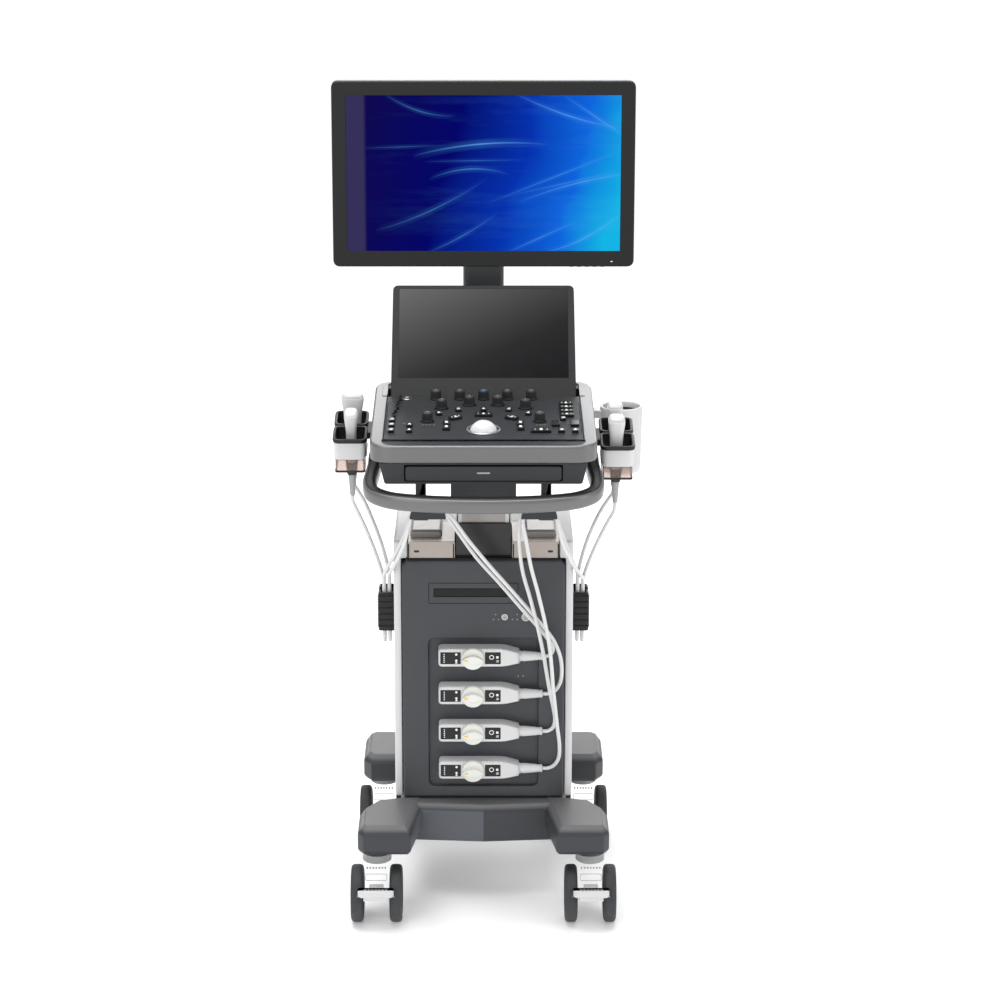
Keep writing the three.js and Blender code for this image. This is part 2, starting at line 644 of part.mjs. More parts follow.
const sideLoop = (side, x) => [[side * (x - 1), 6, 562], ...loopRun.map(([y, z]) => [side * x, y, z])];

const cableRoutes = {
  front_left: [
    [103.5, -80, 447], [110, -80, 447], [117, -82.5, 452], [120, -90, 464], [112, -99, 482], [95, -106, 506],
    [66, -113, 542], [28, -121, 590], [-12, -134, 640], [-42, -150, 688], [-62, -163, 722],
    ...overSaddle(-1, -166.5),
    [-134, -150, 682], [-150, -112, 640], [-165, -66, 604], [-172, -28, 580],
    ...sideLoop(-1, 174.7),
    [-177, 52, 550], [-187, 36, 592], [-201, 6, 642], [-213, -26, 682], [-221, -49, 708], [-224, -59, 719],
    [-224, -62.4, 730.6],
  ],
  rear_left: [
    [103.5, -80, 378.3], [112, -80, 378.3], [123, -82.5, 384], [132, -90, 400], [135, -98, 424],
    [132, -105, 454], [119, -113, 488], [90, -121, 528], [50, -129, 578], [8, -140, 630],
    [-28, -155, 680], [-55, -170, 722],
    ...overSaddle(-1, -175.5),
    [-131, -162, 682], [-143, -128, 642], [-155, -90, 610], [-162, -50, 588],
    ...sideLoop(-1, 165.6),
    [-168, 58, 560], [-178, 54, 606], [-193, 42, 654], [-208, 27, 696], [-219, 13, 720], [-223.7, 5.5, 731],
    [-224, 2.6, 742.1],
  ],
  rear_right: [
    [103.5, -80, 309.6], [111, -80, 309.6], [120, -82.5, 316], [124, -90, 334], [121, -98, 358],
    [115, -104, 388], [109, -110, 424], [103, -117, 462], [93, -126, 512], [80, -134, 566],
    [66, -144, 620], [60, -156, 676], [62, -163, 716],
    ...overSaddle(1, -166.5),
    [134, -150, 682], [145, -118, 644], [156, -82, 612], [162, -44, 588],
    ...sideLoop(1, 165.6),
    [168, 56, 560], [178, 48, 606], [194, 28, 656], [210, 2, 696], [220, -14, 716], [223.7, -19.8, 725],
    [224, -22.4, 736],
  ],
  front_right: [
    [103.5, -80, 240.9], [112, -80, 240.9], [123, -82.5, 247], [131, -90, 264], [132, -98, 290],
    [128, -105, 325], [124, -111, 362], [120, -117, 400], [117, -123, 440], [112, -130, 486],
    [103, -137, 534], [92, -144, 582], [80, -153, 630], [71, -164, 682], [66, -173, 716],
    ...overSaddle(1, -175.5),
    [131, -164, 680], [148, -124, 632], [165, -74, 594], [172, -32, 574],
    ...sideLoop(1, 174.7),
    [177, 48, 552], [188, 24, 596], [203, -18, 646], [215, -56, 684], [222, -78, 704], [224, -84.5, 713],
    [224, -87.4, 724.5],
  ],
};

function cable(route) {
  const section = new THREE.Shape();
  for (let i = 0; i < CABLE.sides; i += 1) {
    const angle = ((i + 0.5) * 2 * Math.PI) / CABLE.sides;
    const [u, v] = [CABLE.radius * Math.cos(angle), CABLE.radius * Math.sin(angle)];
    if (i === 0) section.moveTo(u, v);
    else section.lineTo(u, v);
  }
  section.closePath();
  const points = route.map((point) => new THREE.Vector3(...point));
  const path = new THREE.CatmullRomCurve3(points, false, "centripetal");
  return new THREE.ExtrudeGeometry(section, { steps: CABLE.steps, extrudePath: path, bevelEnabled: false });
}

function addCables() {
  Object.entries(cableRoutes).forEach(([name, route]) => {
    piece(machine, `probe_cable_${name}`, cable(route), WHITE);
  });
}

piece(machine, "base_cover", baseCover(), SLATE);
addCasters();
addCabinet();
addConnectors();
addConsole();
addScreens();
addProbes();
addCables();

export default machine;
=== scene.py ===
import math

import bmesh
import bpy
from mathutils import Matrix, Vector


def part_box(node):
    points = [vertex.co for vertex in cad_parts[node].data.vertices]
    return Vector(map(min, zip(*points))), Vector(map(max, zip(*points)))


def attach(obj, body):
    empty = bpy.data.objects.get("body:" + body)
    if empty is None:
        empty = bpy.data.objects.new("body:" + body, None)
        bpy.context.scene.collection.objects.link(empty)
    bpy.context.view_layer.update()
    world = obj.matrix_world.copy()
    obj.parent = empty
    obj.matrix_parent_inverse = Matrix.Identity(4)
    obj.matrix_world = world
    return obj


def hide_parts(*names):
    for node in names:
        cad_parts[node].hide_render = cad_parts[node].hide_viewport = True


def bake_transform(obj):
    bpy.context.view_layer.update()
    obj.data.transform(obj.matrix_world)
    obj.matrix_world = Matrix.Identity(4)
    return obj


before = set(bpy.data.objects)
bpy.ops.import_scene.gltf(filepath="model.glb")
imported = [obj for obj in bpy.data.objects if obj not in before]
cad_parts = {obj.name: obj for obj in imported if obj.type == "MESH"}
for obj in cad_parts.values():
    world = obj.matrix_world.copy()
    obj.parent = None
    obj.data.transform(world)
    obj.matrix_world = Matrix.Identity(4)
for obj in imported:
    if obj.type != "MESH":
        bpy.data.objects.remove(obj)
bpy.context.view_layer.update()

scene = bpy.context.scene
mm = 0.001
sides = {"left": -1, "right": 1}


# Shader wires and paints.
class Wire:  # a socket; sums and products of wires add Math nodes
    def __init__(self, paint, socket):
        self.paint = paint
        self.socket = socket

    def work(self, operation, first, second):
        return self.paint.add("ShaderNodeMath", {"operation": operation}, {0: first, 1: second})

    def __add__(self, other):
        return self.work("ADD", self, other)

    def __radd__(self, other):
        return self.work("ADD", other, self)

    def __sub__(self, other):
        return self.work("SUBTRACT", self, other)

    def __rsub__(self, other):
        return self.work("SUBTRACT", other, self)

    def __mul__(self, other):
        return self.work("MULTIPLY", self, other)

    def __rmul__(self, other):
        return self.work("MULTIPLY", other, self)

    def __pow__(self, other):
        return self.work("POWER", self, other)

    def __gt__(self, other):
        return self.work("GREATER_THAN", self, other)

    def __lt__(self, other):
        return self.work("LESS_THAN", self, other)


class Paint:  # one material: a Principled shader and the nodes that feed it
    def __init__(self, name, **surface):
        self.material = bpy.data.materials.new(name)
        self.material.use_nodes = True
        self.nodes = self.material.node_tree.nodes
        self.links = self.material.node_tree.links
        self.shader = self.nodes["Principled BSDF"]
        self.place = self.add("ShaderNodeTexCoord", {}, {}, "Object")
        for socket, value in surface.items():
            self.shader.inputs[socket.replace("_", " ")].default_value = value

    def add(self, kind, settings, sockets, out=0):
        node = self.nodes.new(kind)
        for key, value in settings.items():
            if key == "stops":
                ramp = node.color_ramp.elements
                while len(ramp) < len(value):
                    ramp.new(1.0)
                for stop, (at, colour) in zip(ramp, value):
                    stop.position = at
                    stop.color = (*colour, 1.0)
            else:
                setattr(node, key, value)
        for key, value in sockets.items():
            self.feed(node.inputs[key], value)
        return Wire(self, node.outputs[out])

    def feed(self, socket, value):
        if isinstance(value, Wire):
            self.links.new(value.socket, socket)
        elif hasattr(value, "__len__") and len(value) == 3 and socket.type == "RGBA":
            socket.default_value = (*value, 1.0)
        else:
            socket.default_value = value

    def into(self, **sockets):
        for name, value in sockets.items():
            self.feed(self.shader.inputs[name.replace("_", " ")], value)

    def stretched(self, x, y, z):
        sockets = {0: self.place, 1: (x, y, z)}
        return self.add("ShaderNodeVectorMath", {"operation": "MULTIPLY"}, sockets)

    def noise(self, scale, detail=2.0, rough=0.5, where=None):
        where = self.place if where is None else where
        sockets = {"Vector": where, "Scale": scale, "Detail": detail, "Roughness": rough}
        return self.add("ShaderNodeTexNoise", {}, sockets, "Fac")

    def part(self, axis):
        return self.add("ShaderNodeSeparateXYZ", {}, {0: self.place}, axis)

    def ramp(self, value, *stops):
        return self.add("ShaderNodeValToRGB", {"stops": stops}, {"Fac": value}, "Color")

    def spread(self, value, low, high):  # value from low to high becomes 0 to 1
        sockets = {"Value": value, "From Min": low, "From Max": high}
        return self.add("ShaderNodeMapRange", {"clamp": True}, sockets)

    def mix(self, factor, first, second):
        node = self.nodes.new("ShaderNodeMix")
        node.data_type = "RGBA"
        for index, value in ((0, factor), (6, first), (7, second)):
            self.feed(node.inputs[index], value)
        return Wire(self, node.outputs[2])

    def bump(self, height, strength, distance):
        sockets = {"Height": height, "Strength": strength, "Distance": distance}
        self.into(Normal=self.add("ShaderNodeBump", {}, sockets))


def shade(colour, by):
    return tuple(min(1.0, channel * by) for channel in colour)


def moulded(name, colour, roughness=0.45, grain=0.10, grainSize=0.45, level=0.35, cloud=0.06):
    paint = Paint(name, Specular_IOR_Level=level)
    clouds = paint.noise(7.0, 3.0)
    skin = paint.noise(1.0 / (grainSize * mm), 2.0, 0.6)
    paint.into(Base_Color=paint.mix(clouds, shade(colour, 1 - cloud), shade(colour, 1 + cloud)))
    paint.into(Roughness=skin * 0.10 + (roughness - 0.05) + clouds * 0.04)
    paint.bump(skin, grain, 0.12 * mm)
    return paint.material


def metallicPaint(name, colour, metal, roughness, fleck=0.12):
    paint = Paint(name, Coat_Roughness=0.18)
    cells = {"Vector": paint.place, "Scale": 1500.0}
    flake = paint.add("ShaderNodeTexVoronoi", {}, cells, "Distance")
    clouds = paint.noise(9.0, 3.0)
    tone = paint.spread(flake, 0.0, 0.7)
    paint.into(Base_Color=paint.mix(tone, shade(colour, 1 - fleck), shade(colour, 1 + fleck)))
    paint.into(Metallic=tone * 0.15 + (metal - 0.07), Roughness=clouds * 0.08 + (roughness - 0.04))
    paint.into(Coat_Weight=clouds * 0.1 + 0.25)
    paint.bump(paint.noise(900.0, 1.0), 0.04, 0.05 * mm)
    return paint.material


def brushed(name, colour, roughness):
    paint = Paint(name)
    streaks = paint.noise(1.0, 3.0, 0.6, paint.stretched(1400.0, 1400.0, 9.0))
    paint.into(Base_Color=paint.mix(streaks, shade(colour, 0.9), shade(colour, 1.1)))
    paint.into(Metallic=streaks * 0.05 + 0.82, Roughness=streaks * 0.16 + (roughness - 0.08))
    paint.bump(streaks, 0.05, 0.05 * mm)
    return paint.material


def tread(name, colour):
    paint = Paint(name, Specular_IOR_Level=0.3)
    scuffs = paint.noise(85.0, 5.0, 0.7)
    dust = paint.spread(paint.part("Z"), 0.06, 0.0) * paint.spread(scuffs, 0.35, 0.75)
    paint.into(Base_Color=paint.mix(dust * 0.35, colour, shade(colour, 3.0)))
    paint.into(Roughness=scuffs * 0.2 + 0.5)
    paint.bump(paint.noise(1400.0, 2.0), 0.12, 0.1 * mm)
    return paint.material


def tintedClear(name, colour):
    paint = Paint(name, Transmission_Weight=0.85, IOR=1.2, Specular_IOR_Level=0.5)
    haze = paint.noise(60.0, 2.0)
    paint.into(Base_Color=paint.mix(haze, shade(colour, 0.92), shade(colour, 1.08)))
    paint.into(Roughness=haze * 0.1 + 0.18)
    return paint.material


# The monitor's picture: deep navy on the left turning to cyan on the right, with thin curved light streaks.
# A streak is: height at the left edge, rise, bend, where along the width it starts and ends, half width,
# strength.
picture = {
    "streaks": [
        (1.226, -1.878, 2.475, 0.13, 0.40, 0.005, 0.55), (1.871, -1.90, 0.82, 0.60, 1.02, 0.006, 1.0),
        (0.461, 0.789, -0.655, 0.24, 0.74, 0.008, 1.0), (0.014, 2.205, -2.35, 0.30, 0.60, 0.006, 0.7),
        (-0.377, 1.495, -0.624, 0.62, 1.10, 0.006, 0.9), (0.096, 0.26, 0.911, 0.10, 0.52, 0.007, 0.45),
        (0.798, -2.561, 2.0, 0.70, 1.06, 0.006, 1.0), (-0.48, 0.80, 0.0, 0.56, 0.86, 0.005, 0.7),
        (-0.119, 0.033, 1.137, 0.28, 0.56, 0.006, 0.5), (1.925, -1.17, 0.0, 0.78, 1.04, 0.006, 0.8),
        (0.57, 0.03, 0.0, 0.28, 0.66, 0.004, 0.4), (0.66, 0.06, 0.0, 0.05, 0.36, 0.004, 0.35),
        (-0.02, 0.62, 0.05, 0.50, 1.05, 0.005, 0.6), (0.12, 0.40, 0.0, 0.55, 1.0, 0.004, 0.45),
    ],
    "tones": [
        (0.0, (0.004, 0.002, 0.075)),
        (0.35, (0.0005, 0.001, 0.14)),
        (0.62, (0.001, 0.030, 0.42)),
        (0.82, (0.004, 0.13, 0.72)),
        (1.0, (0.006, 0.46, 0.78)),
    ],
    "edge": (0.035, 0.030, 0.10),
    "edgeShare": 0.062,
    "streak": (0.10, 0.42, 0.95),
    "glow": 1.0,
}


def screenPicture(name, low, high):
    paint = Paint(name, Specular_IOR_Level=0.0, Roughness=0.12)
    across = paint.spread(paint.part("X"), low.x, high.x)
    up = paint.spread(paint.part("Z"), low.z, high.z)
    drift = paint.noise(3.2, 4.0, 0.55) - 0.5
    lean = across + drift * 0.34 + (0.5 - up) * 0.10
    tone = paint.ramp(lean, *picture["tones"])
    light = 0.0
    for start, rise, bend, near, far, width, gain in picture["streaks"]:
        gap = up - (across * rise + across * across * bend + start)
        middle = (near + far) / 2
        ends = paint.spread(across, near, middle) * paint.spread(across, far, middle)
        for share, spreadOut in ((1.0, 0.75), (0.22, 4.5)):
            thin = paint.spread(gap * gap, (width * spreadOut) ** 2, 0.0)
            light = thin * ends * (gain * share * 0.62) + light
    veil = paint.spread(paint.noise(2.2, 5.0, 0.7, paint.stretched(0.8, 1.0, 6.5)), 0.5, 0.85) * 0.22
    picked = paint.mix(light + veil * across, tone, picture["streak"])
    strip = paint.spread(across, picture["edgeShare"] + 0.012, picture["edgeShare"])
    shown = paint.mix(strip, picked, picture["edge"])
    paint.into(Base_Color=(0.0006, 0.0007, 0.0012), Emission_Color=shown)
    paint.shader.inputs["Emission Strength"].default_value = picture["glow"]
    return paint.material


# The touch glass glows with a painted reflection: grey at the top left fading to black at the bottom right,
# painted in as emission.
def touchGlassPaintedReflection(name, low, high):
    paint = Paint(name, Specular_IOR_Level=0.06, Roughness=0.16)
    across = paint.spread(paint.part("X"), low.x, high.x)
    up = paint.spread(paint.part("Z"), low.z, high.z)
    paintedReflection = paint.spread(up * 0.9 + (1 - across) * 0.75, 0.55, 1.65)
    paint.into(Base_Color=paint.mix(paint.noise(40.0), (0.006, 0.006, 0.007), (0.008, 0.008, 0.009)))
    paint.into(Emission_Color=paint.mix(paintedReflection ** 1.4, (0.0, 0.0, 0.0), (0.115, 0.115, 0.115)))
    paint.shader.inputs["Emission Strength"].default_value = 1.0
    return paint.material


slate = moulded("slate shell", (0.050, 0.054, 0.060), 0.42)
dark = moulded("charcoal shell", (0.0125, 0.0128, 0.0135), 0.42, level=0.22)
panelSkin = moulded("panel slate", (0.027, 0.0285, 0.031), 0.50, 0.16, level=0.25)
black = moulded("black plastic", (0.010, 0.010, 0.011), 0.38, 0.06)
keyCap = moulded("key cap", (0.006, 0.006, 0.0065), 0.26, 0.03, 0.3, 0.4)
knobSkin = moulded("knob rubber", (0.020, 0.020, 0.021), 0.46, 0.12)
knobCap = moulded("knob cap", (0.060, 0.061, 0.064), 0.34, 0.04)
white = moulded("white shell", (0.64, 0.64, 0.645), 0.38, 0.05, 0.5, 0.4, 0.02)
# fork white: the same white plastic painted darker, as painted shade on the caster forks
forkWhitePaintedShade = moulded("fork white with painted shade", (0.43, 0.43, 0.435), 0.40, 0.05, 0.5, 0.25, 0.02)
cream = moulded("cream lock", (0.74, 0.745, 0.70), 0.42, 0.05, 0.5, 0.4, 0.02)
lens = moulded("grey lens", (0.55, 0.55, 0.555), 0.30, 0.02, 0.6, 0.4, 0.03)
reliefGrey = moulded("grey relief", (0.40, 0.40, 0.405), 0.5, 0.08)
legend = moulded("legend white", (0.86, 0.86, 0.86), 0.5, 0.02)
yellow = moulded("yellow mark", (0.80, 0.52, 0.06), 0.45, 0.02)
silver = metallicPaint("silver paint", (0.135, 0.135, 0.138), 0.35, 0.42)
bright = metallicPaint("bright trim", (0.36, 0.36, 0.37), 0.7, 0.28)
taupe = metallicPaint("taupe paint", (0.40, 0.345, 0.31), 0.25, 0.38)
columnMetal = brushed("column metal", (0.30, 0.285, 0.27), 0.34)
wheelSkin = tread("wheel tread", (0.045, 0.047, 0.051))
clear = tintedClear("tinted clear", (0.62, 0.50, 0.45))
jacket = moulded("cable jacket", (0.68, 0.68, 0.68), 0.40, 0.03, 0.8, 0.4, 0.02)
# slate underside: the slate painted darker, as painted shade on the console's tub and drawer underneath
slateShadedUnderside = moulded("slate with painted underside shade", (0.030, 0.032, 0.035), 0.42)
blueCap = moulded("blue knob cap", (0.045, 0.075, 0.16), 0.34, 0.04)
ballSkin = moulded("polished ball", (0.66, 0.66, 0.67), 0.14, 0.0, 0.5, 0.5, 0.01)
innerGrey = moulded("inner grey", (0.06, 0.06, 0.062), 0.5)


# Mesh tools.
thinnest = 0.02  # the radius that stands for zero, in millimetres
smoothAngle = 38  # shading is smooth across edges flatter than this, in degrees


def shiftBy(x, y, z):  # a move given in millimetres
    return Matrix.Translation(Vector((x, y, z)) * mm)


def spinBy(degrees, axis):
    return Matrix.Rotation(math.radians(degrees), 4, axis)


def place(along, u, v, w):
    return {"z": (u, v, w), "y": (u, w, v), "x": (w, u, v)}[along]


def softCorners(corners, radius=0.0, steps=6):
    loop = []
    count = len(corners)
    for index, corner in enumerate(corners):
        here = Vector(corner[:2])
        own = corner[2] if len(corner) > 2 else radius
        if own <= 0:
            loop.append(here)
            continue
        before = here + (Vector(corners[index - 1][:2]) - here).normalized() * own
        after = here + (Vector(corners[(index + 1) % count][:2]) - here).normalized() * own
        for step in range(steps + 1):
            t = step / steps
            loop.append(before * (1 - t) ** 2 + here * 2 * t * (1 - t) + after * t * t)
    return loop


def rectangle(u0, u1, v0, v1, radius=0.0, steps=6):
    return softCorners([(u0, v0), (u1, v0), (u1, v1), (u0, v1)], radius, steps)


def inset(loop, by):  # an anticlockwise outline moved inwards
    moved = []
    count = len(loop)
    for index, here in enumerate(loop):
        back = (here - loop[index - 1]).normalized()
        on = (loop[(index + 1) % count] - here).normalized()
        inward = Vector((-back.y - on.y, back.x + on.x))
        length = max(0.35, math.sqrt(max(1e-6, (1 + back.dot(on)) / 2)))
        moved.append(here + inward.normalized() * (by / length))
    return moved


def finishMesh(name, bm, edge=0.0, steps=3, sharp=32):
    bmesh.ops.remove_doubles(bm, verts=bm.verts, dist=0.02 * mm)
    bmesh.ops.recalc_face_normals(bm, faces=bm.faces)
    if edge > 0:
        limit = math.radians(sharp)
        crisp = [e for e in bm.edges if len(e.link_faces) == 2 and e.calc_face_angle(0) > limit]
        bmesh.ops.bevel(bm, geom=crisp, offset=edge * mm, segments=steps, profile=0.5, affect="EDGES",
                        clamp_overlap=False)
        bmesh.ops.recalc_face_normals(bm, faces=bm.faces)
    data = bpy.data.meshes.new(name)
    bm.to_mesh(data)
    bm.free()
    data.shade_smooth()
    data.set_sharp_from_angle(angle=math.radians(smoothAngle))
    obj = bpy.data.objects.new(name, data)
    scene.collection.objects.link(obj)
    weighted = obj.modifiers.new("even shading", "WEIGHTED_NORMAL")
    weighted.keep_sharp = True
    return obj


def addLoops(bm, loops, closed=False, caps=True):
    rows = [[bm.verts.new(point) for point in loop] for loop in loops]
    pairs = list(zip(rows, rows[1:])) + ([(rows[-1], rows[0])] if closed else [])
    for low, high in pairs:
        for index in range(len(low)):
            bm.faces.new((low[index - 1], low[index], high[index], high[index - 1]))
    if caps and not closed:
        bm.faces.new(list(reversed(rows[0])))
        bm.faces.new(rows[-1])


def lofted(name, loops, closed=False, edge=0.0, steps=3):
    bm = bmesh.new()
    addLoops(bm, [[Vector(p) * mm for p in loop] for loop in loops], closed)
    return finishMesh(name, bm, edge, steps)


# A slab of an outline between two heights along an axis, or a stack of (height, inset) layers.
def slab(name, outline, layers, along="z", edge=0.0, steps=3):
    if not hasattr(layers[0], "__len__"):
        layers = [(layers[0], 0), (layers[1], 0)]
    loops = [[place(along, p.x, p.y, at) for p in inset(outline, by)] for at, by in layers]
    return lofted(name, loops, edge=edge, steps=steps)


def rounds(profile, steps, waves=None):  # the circles of a profile of (radius, height) about z
    loops = []
    for radius, height in profile:
        loop = []
        for index in range(steps):
            angle = 2 * math.pi * index / steps
            r = max(radius, thinnest) * (1 + (waves(angle, height) if waves else 0))
            loop.append((r * math.cos(angle), r * math.sin(angle), height))
        loops.append(loop)
    return loops


def turned(name, profile, steps=48, waves=None):  # a profile that runs from axis to axis
    return lofted(name, rounds(profile, steps, waves))


def ring(name, profile, steps=64):  # a closed profile
    return lofted(name, rounds(profile, steps), closed=True)


def swept(name, points, section, edge=0.0, up=None):  # a section of (side, up) points carried along a path
    bm = bmesh.new()
    path = [Vector(p) * mm for p in points]
    loops = []
    normal = None
    for index, here in enumerate(path):
        on = (path[min(index + 1, len(path) - 1)] - path[max(index - 1, 0)]).normalized()
        if up is not None:
            normal = (Vector(up) - on * on.dot(Vector(up))).normalized()
        elif normal is None:
            normal = on.orthogonal().normalized()
        else:
            normal = (normal - on * on.dot(normal)).normalized()
        side = on.cross(normal)
        loops.append([here + (side * u + normal * v) * mm for u, v in section(index / (len(path) - 1))])
    addLoops(bm, loops)
    return finishMesh(name, bm, edge)


def circle(radius, sides=12, stretch=1.0):
    turns = [2 * math.pi * index / sides for index in range(sides)]
    return [(radius * math.cos(a), radius * stretch * math.sin(a)) for a in turns]


def squircle(halfX, halfY, z, power=2.6, count=40, middle=(0.0, 0.0)):
    loop = []
    for index in range(count):
        angle = 2 * math.pi * index / count
        c, s = math.cos(angle), math.sin(angle)
        x = math.copysign(abs(c) ** (2 / power), c) * halfX + middle[0]
        y = math.copysign(abs(s) ** (2 / power), s) * halfY + middle[1]
        loop.append((x, y, z))
    return loop


def boolean(obj, tools, operation):
    for tool in tools:
        change = obj.modifiers.new("cut", "BOOLEAN")
        change.operation = operation
        change.solver = "EXACT"
        change.object = tool
    for other in [m for m in obj.modifiers if m.type == "WEIGHTED_NORMAL"]:
        obj.modifiers.remove(other)
    bpy.context.view_layer.update()
    graph = bpy.context.evaluated_depsgraph_get()
    made = bpy.data.meshes.new_from_object(obj.evaluated_get(graph))
    name = obj.name
    for old in (obj, *tools):
        bpy.data.objects.remove(old)
    return name, made


def cleaned(name, data, flat, edge, steps, sharp):  # merges what is flat to an angle and rounds what is crisp
    bm = bmesh.new()
    bm.from_mesh(data)
    bmesh.ops.remove_doubles(bm, verts=bm.verts, dist=0.01 * mm)
    bmesh.ops.dissolve_limit(bm, angle_limit=math.radians(flat), verts=bm.verts, edges=bm.edges)
    return finishMesh(name, bm, edge, steps, sharp)


def shaped(obj, cut=(), add=(), edge=0.8, steps=3, sharp=32):  # joins and cuts, then rounds what is crisp
    name, made = obj.name, obj.data
    if add:
        name, made = boolean(obj, add, "UNION")
        obj = bpy.data.objects.new(name, made)
        scene.collection.objects.link(obj)
    if cut:
        name, made = boolean(obj, cut, "DIFFERENCE")
    else:
        bpy.data.objects.remove(obj)
    return cleaned(name, made, 0.6, edge, steps, sharp)


# A CAD node's own shape with its flat triangles merged and its crisp edges rounded.
def refinedShell(node, edge, steps=3):
    return cleaned(node + "_shell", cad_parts[node].data, 0.8, edge, steps, 34)


# Places a piece in its frame, paints it and lets it ride on its body.
def fit(obj, paint, body, slot=None, *nodes, frameOf=None):
    if frameOf is not None:
        obj.data.transform(frameOf)
    obj.data.materials.clear()
    obj.data.materials.append(paint)
    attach(obj, body)
    if nodes:
        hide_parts(*nodes)
    return obj


def at(x, y, z, tiltX=0.0, turnZ=0.0):  # a frame at a point given in millimetres
    return shiftBy(x, y, z) @ spinBy(turnZ, "Z") @ spinBy(tiltX, "X")


facingFront = spinBy(90, "X")  # a turned piece whose top looks at the user


def nodeBox(name):
    low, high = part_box(name)
    return low / mm, high / mm


print("paints and tools ready")

# Camera, floor and lights.
camera = {"place": (0.0, -4.743, 1.976), "down": 15.0, "lens": 101.88, "sensor": 36.0, "shift": 0.0165,
          "far": 60.0}
lights = {
    "overhead": {"place": (-0.35, -0.2, 3.4), "aim": (0.0, 0.0, 0.7), "size": (2.6, 2.2), "watts": 95},
    "front": {"place": (-2.2, -4.2, 2.6), "aim": (0.0, 0.0, 0.8), "size": (2.4, 2.4), "watts": 62},
    "right": {"place": (3.0, -1.6, 1.8), "aim": (0.0, 0.0, 0.8), "size": (1.4, 2.4), "watts": 30},
    "back": {"place": (0.6, 3.2, 2.4), "aim": (0.0, 0.0, 0.8), "size": (3.0, 2.0), "watts": 55},
}
floorRadius = 45  # metres
roomLight, backdrop = 0.42, 1.0  # the white world as a light, and as the camera sees it


def makeCamera():
    data = bpy.data.cameras.new("camera")
    data.lens = camera["lens"]
    data.sensor_width = camera["sensor"]
    data.shift_x = camera["shift"]
    data.clip_end = camera["far"]
    obj = bpy.data.objects.new("camera", data)
    obj.location = camera["place"]
    obj.rotation_euler = (math.radians(90 - camera["down"]), 0, 0)
    scene.collection.objects.link(obj)
    scene.camera = obj


def makeLights():
    for name, light in lights.items():
        data = bpy.data.lights.new(name, "AREA")
        data.shape = "RECTANGLE"
        data.size, data.size_y = light["size"]
        data.energy = light["watts"]
        obj = bpy.data.objects.new(name, data)
        obj.location = light["place"]
        toward = Vector(light["aim"]) - Vector(light["place"])
        obj.rotation_euler = toward.to_track_quat("-Z", "Y").to_euler()
        scene.collection.objects.link(obj)
    world = bpy.data.worlds.new("studio")
    world.use_nodes = True
    scene.world = world
    tree = world.node_tree
    room, seen = tree.nodes["Background"], tree.nodes.new("ShaderNodeBackground")
    for background, strength in ((room, roomLight), (seen, backdrop)):
        background.inputs["Color"].default_value = (1.0, 1.0, 1.0, 1.0)
        background.inputs["Strength"].default_value = strength
    rays = tree.nodes.new("ShaderNodeLightPath")
    blend = tree.nodes.new("ShaderNodeMixShader")
    tree.links.new(rays.outputs["Is Camera Ray"], blend.inputs[0])
    tree.links.new(room.outputs[0], blend.inputs[1])
    tree.links.new(seen.outputs[0], blend.inputs[2])
    tree.links.new(blend.outputs[0], tree.nodes["World Output"].inputs["Surface"])
    scene.view_settings.view_transform = "Standard"


def makeFloor():
    paint = Paint("pale floor", Roughness=0.6, Specular_IOR_Level=0.1)
    paint.into(Base_Color=paint.mix(paint.noise(1.5), (0.955, 0.955, 0.955), (0.965, 0.965, 0.965)))
    away = paint.add("ShaderNodeVectorMath", {"operation": "LENGTH"}, {0: paint.place}, "Value")
    paint.into(Emission_Color=paint.mix(paint.spread(away, 0.4, 4.5), (0.34, 0.34, 0.34), (1.0, 1.0, 1.0)))
    paint.shader.inputs["Emission Strength"].default_value = 0.62
    bm = bmesh.new()
    rim = [bm.verts.new((floorRadius * math.cos(turn), floorRadius * math.sin(turn), 0))
           for turn in (math.radians(7.5 * step) for step in range(48))]
    bm.faces.new(rim)
    data = bpy.data.meshes.new("floor")
    bm.to_mesh(data)
    bm.free()
    data.shade_smooth()
    data.materials.append(paint.material)
    obj = bpy.data.objects.new("floor", data)
    scene.collection.objects.link(obj)


makeCamera()
makeLights()
makeFloor()
print("camera, floor and lights made")

# Probe cables.
# Each leaves its connector, climbs over a saddle under the console, drops outside the cabinet, hangs in a
# loop through the side guide and rises to its probe.
cable = {"diameter": 6.5, "sides": 14, "stretchFrom": 0.545, "stretchTo": 0.712}


def overSaddle(side, y):
    return [(side * x, depth, z) for x, depth, z in ((74, y, 741), (93, y, 748.6), (112, y, 741),
                                                     (123, y + 2, 718))]


def sideLoop(side, x):
    inner = [(x - 1, 6, 562)]
    run = [(6, 0), (20, 540), (26, 516), (27, 490), (28, 462), (34, 444), (42, 437), (50, 444), (56, 462),
           (57, 490), (57, 520)]
    return [(side * u, y, z) for u, y, z in inner + [(x, y, z) for y, z in run[1:]]]


